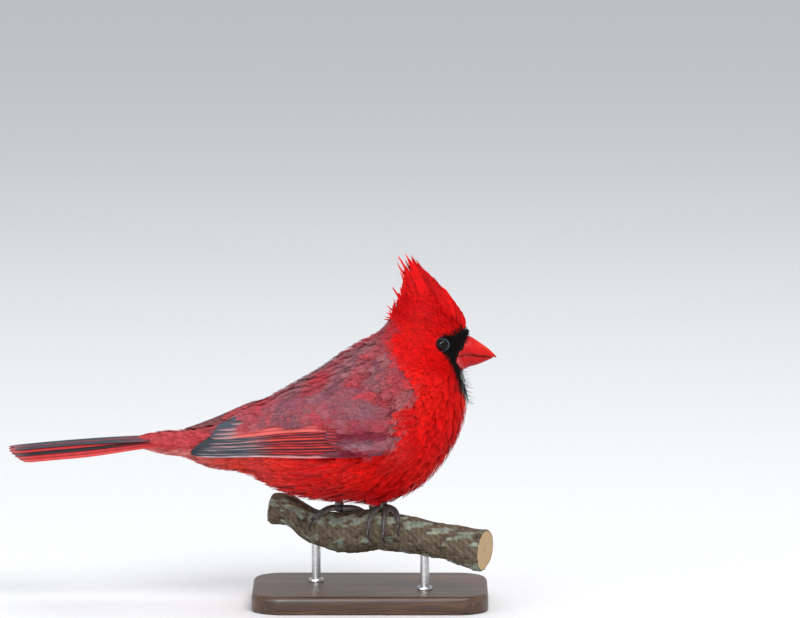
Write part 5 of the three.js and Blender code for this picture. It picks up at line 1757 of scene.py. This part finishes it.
FEET = {"right": (11.0, -1), "left": (-11.0, 1)}
TOES = [(10.5, 58, 1.55, 1.05), (4.5, 88, 1.5, 1.0), (-2.5, 84, 1.45, 0.95), (-9.5, -62, 1.6, 1.1)]
LEG_DARK, LEG_PALE = srgb(62, 54, 56), srgb(134, 120, 114)
for sn, (at, wrap) in FEET.items():
    Vs, Qs, Ts, Cs, nv = [], [], [], [], 0
    for ti, (reach, endang, r0, r1) in enumerate(TOES):
        K, sides = 54, 18
        t = np.linspace(0.02, 1, K)
        rr = r0 + (r1 - r0) * t
        joints = (0.30, 0.62, 0.90) if ti != 3 else (0.4, 0.85)
        ang = np.radians(wrap * endang * t)
        P = on_perch(at + reach * np.sqrt(t), ang, rr + 0.28)
        outw = unit(P - on_perch(at + reach * np.sqrt(t), ang, -3.0))

        def rad(tt, a, r0=r0, r1=r1, joints=joints):
            r = r0 + (r1 - r0) * tt
            top = smooth(0.1, 0.8, np.cos(a))
            saw = ((tt * 15.0) % 1.0)
            scute = 0.20 * (saw - 0.35) * top
            pad = sum(0.30 * np.exp(-(((tt - j) / 0.075) ** 2)) for j in joints) * smooth(0.2, -0.6, np.cos(a))
            taper = np.sqrt(np.clip(1 - ((tt - 0.93) / 0.075).clip(0, 1) ** 2, 0.02, 1))
            return (r * 0.97 + scute + pad - 0.08) * taper

        V, q, tr, tt, a = tube(P, rad, sides, outw)
        topw = smooth(-0.1, 0.6, np.cos(a))[None, :] * np.ones((K, 1))
        seam = smooth(0.16, 0.0, (tt[:, None] * 15.0) % 1.0) * topw
        c = mixc(np.tile(LEG_PALE, (K, sides, 1)), LEG_DARK, topw)
        c = mixc(c, LEG_DARK * 0.45, seam * 0.8)
        Cs.append(np.concatenate([c.reshape(-1, 3), np.tile(LEG_DARK, (2, 1))]))
        Vs.append(V); Qs.append(q + nv); Ts.append(tr + nv); nv += len(V)
        # claw
        K2 = 22
        t2 = np.linspace(0, 1, K2)
        sg_ = 1 if endang > 0 else -1
        angc = np.radians(wrap * (endang + sg_ * (-3.0 + 35.0 * t2)))
        Pc = on_perch(at + reach * (1 + 0.06 * t2), angc, r1 + 0.42 + 1.15 * np.sin(math.pi * t2**0.85) - (r1 + 0.25) * t2**2)
        oc = unit(Pc - on_perch(at + reach * (1 + 0.06 * t2), angc, -3.0))
        Vc, qc, tc_, _, _ = tube(Pc, lambda tt, a: (0.92 * (1 - tt) ** 0.75 + 0.05) * (1 - 0.14 * np.abs(np.sin(a))), 14, oc)
        o, _ = new_object("claw_horn_%s_%d" % (sn, ti + 1), Vc, [qc, tc_])
        done(o, MAT_CLAW, "claw", "claw_%s_%d" % (sn, ti + 1))
    # palm
    V, q = uv_sphere(*on_perch(at, 0, 1.75), 2.15, 24, 16)
    cen = V.mean(0)
    V = cen + (V - cen) * np.array([1.15, 1.0, 0.85])
    Vs.append(V); Qs.append(q + nv); nv += len(V)
    Cs.append(np.tile(LEG_DARK, (len(V), 1)))
    o, _ = new_object("toes_" + sn, np.concatenate(Vs), [np.concatenate(Qs), np.concatenate(Ts)])
    put_color(o, np.concatenate(Cs))
    done(o, MAT_LEG, "leg_skin", "foot_" + sn)
    # shank
    bpt = on_perch(at, 0, 3.0)
    top = np.array([bpt[0] - 5, wrap * 10.0, 62.0])
    K, sides = 44, 18
    tt = np.linspace(0, 1, K)[:, None]
    P = top + (bpt - top) * tt

    def rad2(t, a):
        front = smooth(0.0, 0.8, np.cos(a))
        return 1.75 - 0.35 * np.sin(math.pi * t) + 0.09 * (((t * 9) % 1.0) - 0.4) * front + 0.35 * smooth(0.9, 1.0, t)

    V, q, tr, t1, a = tube(P, rad2, sides, np.array([1.0, wrap * 0.3, 0.2]))
    fr = smooth(-0.2, 0.6, np.cos(a))[None, :] * np.ones((K, 1))
    c = mixc(np.tile(LEG_PALE, (K, sides, 1)), LEG_DARK, 0.35 + 0.65 * fr)
    c = mixc(c, LEG_DARK * 0.5, smooth(0.14, 0.0, (t1[:, None] * 9) % 1.0) * fr * 0.8)
    o, _ = new_object("shank_" + sn, V, [q, tr])
    put_color(o, np.concatenate([c.reshape(-1, 3), np.tile(LEG_DARK, (2, 1))]))
    done(o, MAT_LEG, "leg_skin", "tarsus_" + sn)
    # soft feathers of the thigh, hanging round the top of the shank
    n = 46
    th = rng.uniform(0, 2 * math.pi, n)
    rad0 = rng.uniform(2.0, 5.2, n)
    x0 = bpt[0] - 3.0
    y0 = bpt[1] * 0.6 + wrap * 10 * 0.4
    R = np.stack([x0 + rad0 * 1.25 * np.cos(th), y0 + rad0 * np.sin(th), np.full(n, 51.5)], -1)
    K = 5
    tk = np.linspace(0, 1, K)[None, :, None]
    Lh = 7.6 * (1 - 0.05 * rad0) + rng.normal(0, 0.6, n)
    dirv = unit(np.stack([-0.28 + 0.05 * np.cos(th), 0.10 * np.sin(th), -np.ones(n)], -1))
    inward = np.stack([(x0 + 1.2) - R[:, 0], (y0 * 0.6 + bpt[1] * 0.4) - R[:, 1], np.zeros(n)], -1)
    C = R[:, None] + dirv[:, None] * Lh[:, None, None] * tk + inward[:, None] * (0.42 * tk**1.6)
    T = unit(np.gradient(C, axis=1))
    outv = np.stack([np.cos(th), np.sin(th), np.zeros(n)], -1)[:, None] * np.ones((1, K, 1))
    N = unit(outv - (outv * T).sum(-1, keepdims=True) * T)
    cc = mixc(np.tile(RED, (n, 1)), CRIMSON, rng.random(n) * 0.8)
    th_coat = Coat("coat_thigh_" + sn)
    plume(th_coat, R, C, T, N, Lh, Lh * 0.26, 40, col=cc, width=Lh * 0.045, fringe=0.10)
    th_coat.finish()


# ---------------------------------------------------------------- display stand
def wood_mat(nt, b):
    tc = node(nt, "ShaderNodeTexCoord")
    mp = node(nt, "ShaderNodeMapping")
    mp.inputs["Scale"].default_value = (9.0, 160.0, 160.0)
    nt.links.new(tc.outputs["Object"], mp.inputs["Vector"])
    n1 = node(nt, "ShaderNodeTexNoise", Scale=1.0, Detail=6.0, Roughness=0.62, Distortion=0.6)
    nt.links.new(mp.outputs["Vector"], n1.inputs["Vector"])
    mp2 = node(nt, "ShaderNodeMapping")
    mp2.inputs["Scale"].default_value = (60.0, 1400.0, 1400.0)
    nt.links.new(tc.outputs["Object"], mp2.inputs["Vector"])
    n2 = node(nt, "ShaderNodeTexNoise", Scale=1.0, Detail=3.0)
    nt.links.new(mp2.outputs["Vector"], n2.inputs["Vector"])
    c1 = ramp(nt, n1.outputs["Fac"], [(0.28, (0.030, 0.014, 0.008)), (0.5, (0.085, 0.040, 0.021)), (0.72, (0.15, 0.078, 0.042))])
    c2 = ramp(nt, n2.outputs["Fac"], [(0.35, (0.6, 0.6, 0.6)), (0.6, (1.1, 1.1, 1.1))])
    nt.links.new(mult(nt, c1, c2), b.inputs["Base Color"])
    bump = node(nt, "ShaderNodeBump", Strength=0.15, Distance=0.0002)
    nt.links.new(n2.outputs["Fac"], bump.inputs["Height"])
    nt.links.new(bump.outputs["Normal"], b.inputs["Normal"])
    b.inputs["Roughness"].default_value = 0.38


def steel_mat(nt, b):
    tc = node(nt, "ShaderNodeTexCoord")
    mp = node(nt, "ShaderNodeMapping")
    mp.inputs["Scale"].default_value = (300.0, 300.0, 4200.0)
    nt.links.new(tc.outputs["Object"], mp.inputs["Vector"])
    n1 = node(nt, "ShaderNodeTexNoise", Scale=1.0, Detail=2.0)
    nt.links.new(mp.outputs["Vector"], n1.inputs["Vector"])
    nt.links.new(ramp(nt, n1.outputs["Fac"], [(0.3, (0.42, 0.42, 0.43)), (0.7, (0.62, 0.62, 0.62))]), b.inputs["Base Color"])
    b.inputs["Metallic"].default_value = 1.0
    b.inputs["Roughness"].default_value = 0.32
    bump = node(nt, "ShaderNodeBump", Strength=0.08, Distance=0.0001)
    nt.links.new(n1.outputs["Fac"], bump.inputs["Height"])
    nt.links.new(bump.outputs["Normal"], b.inputs["Normal"])


MAT_WOOD = material("dark_walnut", wood_mat)
MAT_STEEL = material("brushed_rod", steel_mat)


def slab(l, w, h, corner, prof):
    """A rounded slab from a stack of outlines: prof holds (inset, z)."""
    out = []
    n = 14
    for inset, z in prof:
        hl, hw, c = l / 2 - inset, w / 2 - inset, max(0.5, corner - inset)
        ring = []
        for q, (cx, cy) in enumerate(((hl - c, hw - c), (-hl + c, hw - c), (-hl + c, -hw + c), (hl - c, -hw + c))):
            for i in range(n + 1):
                a = (q + i / n) * math.pi / 2
                ring.append((cx + c * math.cos(a), cy + c * math.sin(a), z))
        out.append(ring)
    V = np.array(out)
    m = V.shape[1]
    i, j = np.meshgrid(np.arange(len(prof) - 1), np.arange(m), indexing="ij")
    a, b = (i * m + j).ravel(), (i * m + (j + 1) % m).ravel()
    q = np.stack([a, b, b + m, a + m], -1)
    V = np.concatenate([V.reshape(-1, 3), [[0, 0, prof[0][1]], [0, 0, prof[-1][1]]]])
    k = len(V)
    last = (len(prof) - 1) * m
    t = np.array([(k - 2, (j + 1) % m, j) for j in range(m)] + [(k - 1, last + j, last + (j + 1) % m) for j in range(m)])
    return V, q, t


prof = [(1.0, 0.0), (0.3, 0.25), (0.0, 0.9), (0.0, 5.6)] + [(1.9 * (1 - math.cos(a)), 5.6 + 2.4 * math.sin(a)) for a in np.linspace(0.15, math.pi / 2, 8)] + [(2.4, 8.0), (5.0, 8.0)]
V, q, t = slab(104, 70, 8, 14, prof)
bo, _ = new_object("stand_base_wood", V, [q, t])
bo.data.set_sharp_from_angle(angle=math.radians(50)) if hasattr(bo.data, "set_sharp_from_angle") else None
done(bo, MAT_WOOD, "stand_wood", "stand_base")
for i, s0 in enumerate((-22.0, 31.0)):
    cx, cy = PERCH["midX"] + s0 * math.cos(PERCH["yaw"]), s0 * math.sin(PERCH["yaw"])
    zt = float(cubic(PLINE[:, 0], PLINE[:, 1], np.array([s0]))[0])
    P = np.array([(cx, cy, z) for z in np.linspace(7.9, zt - 3.0, 12)])
    V, q, t, _, _ = tube(P, lambda tt, a: 2.0 + 0 * tt + 0 * a, 40, np.array([1.0, 0, 0]))
    ro, _ = new_object("stand_rod_steel_%d" % (i + 1), V, [q, t])
    done(ro, MAT_STEEL, "stand_metal", "stand_rod_%d" % (i + 1))
    P = np.array([(cx, cy, z) for z in (8.0, 8.3, 9.2, 9.6)])
    V, q, t, _, _ = tube(P, lambda tt, a: 3.4 - 0.5 * smooth(0.6, 1.0, tt) + 0 * a, 40, np.array([1.0, 0, 0]))
    ro, _ = new_object("stand_collar_%d" % (i + 1), V, [q, t])
    done(ro, MAT_STEEL, "stand_metal")

# ---------------------------------------------------------------- floor
def floor_mat(nt, b):
    tc = node(nt, "ShaderNodeTexCoord")
    n = node(nt, "ShaderNodeTexNoise", Scale=220.0, Detail=2.0)
    nt.links.new(tc.outputs["Object"], n.inputs["Vector"])
    nt.links.new(ramp(nt, n.outputs["Fac"], [(0.3, (0.745, 0.75, 0.76)), (0.7, (0.765, 0.77, 0.78))]), b.inputs["Base Color"])
    b.inputs["Roughness"].default_value = 0.95
    b.inputs["Specular IOR Level"].default_value = 0.1


floor_mesh = bpy.data.meshes.new("floor")
floor_mesh.from_pydata([(-6, -4, 0), (6, -4, 0), (6, 12, 0), (-6, 12, 0)], [], [(0, 1, 2, 3)])
floor = bpy.data.objects.new("floor", floor_mesh)
scene.collection.objects.link(floor)
floor_mesh.materials.append(material("floor_paper", floor_mat))
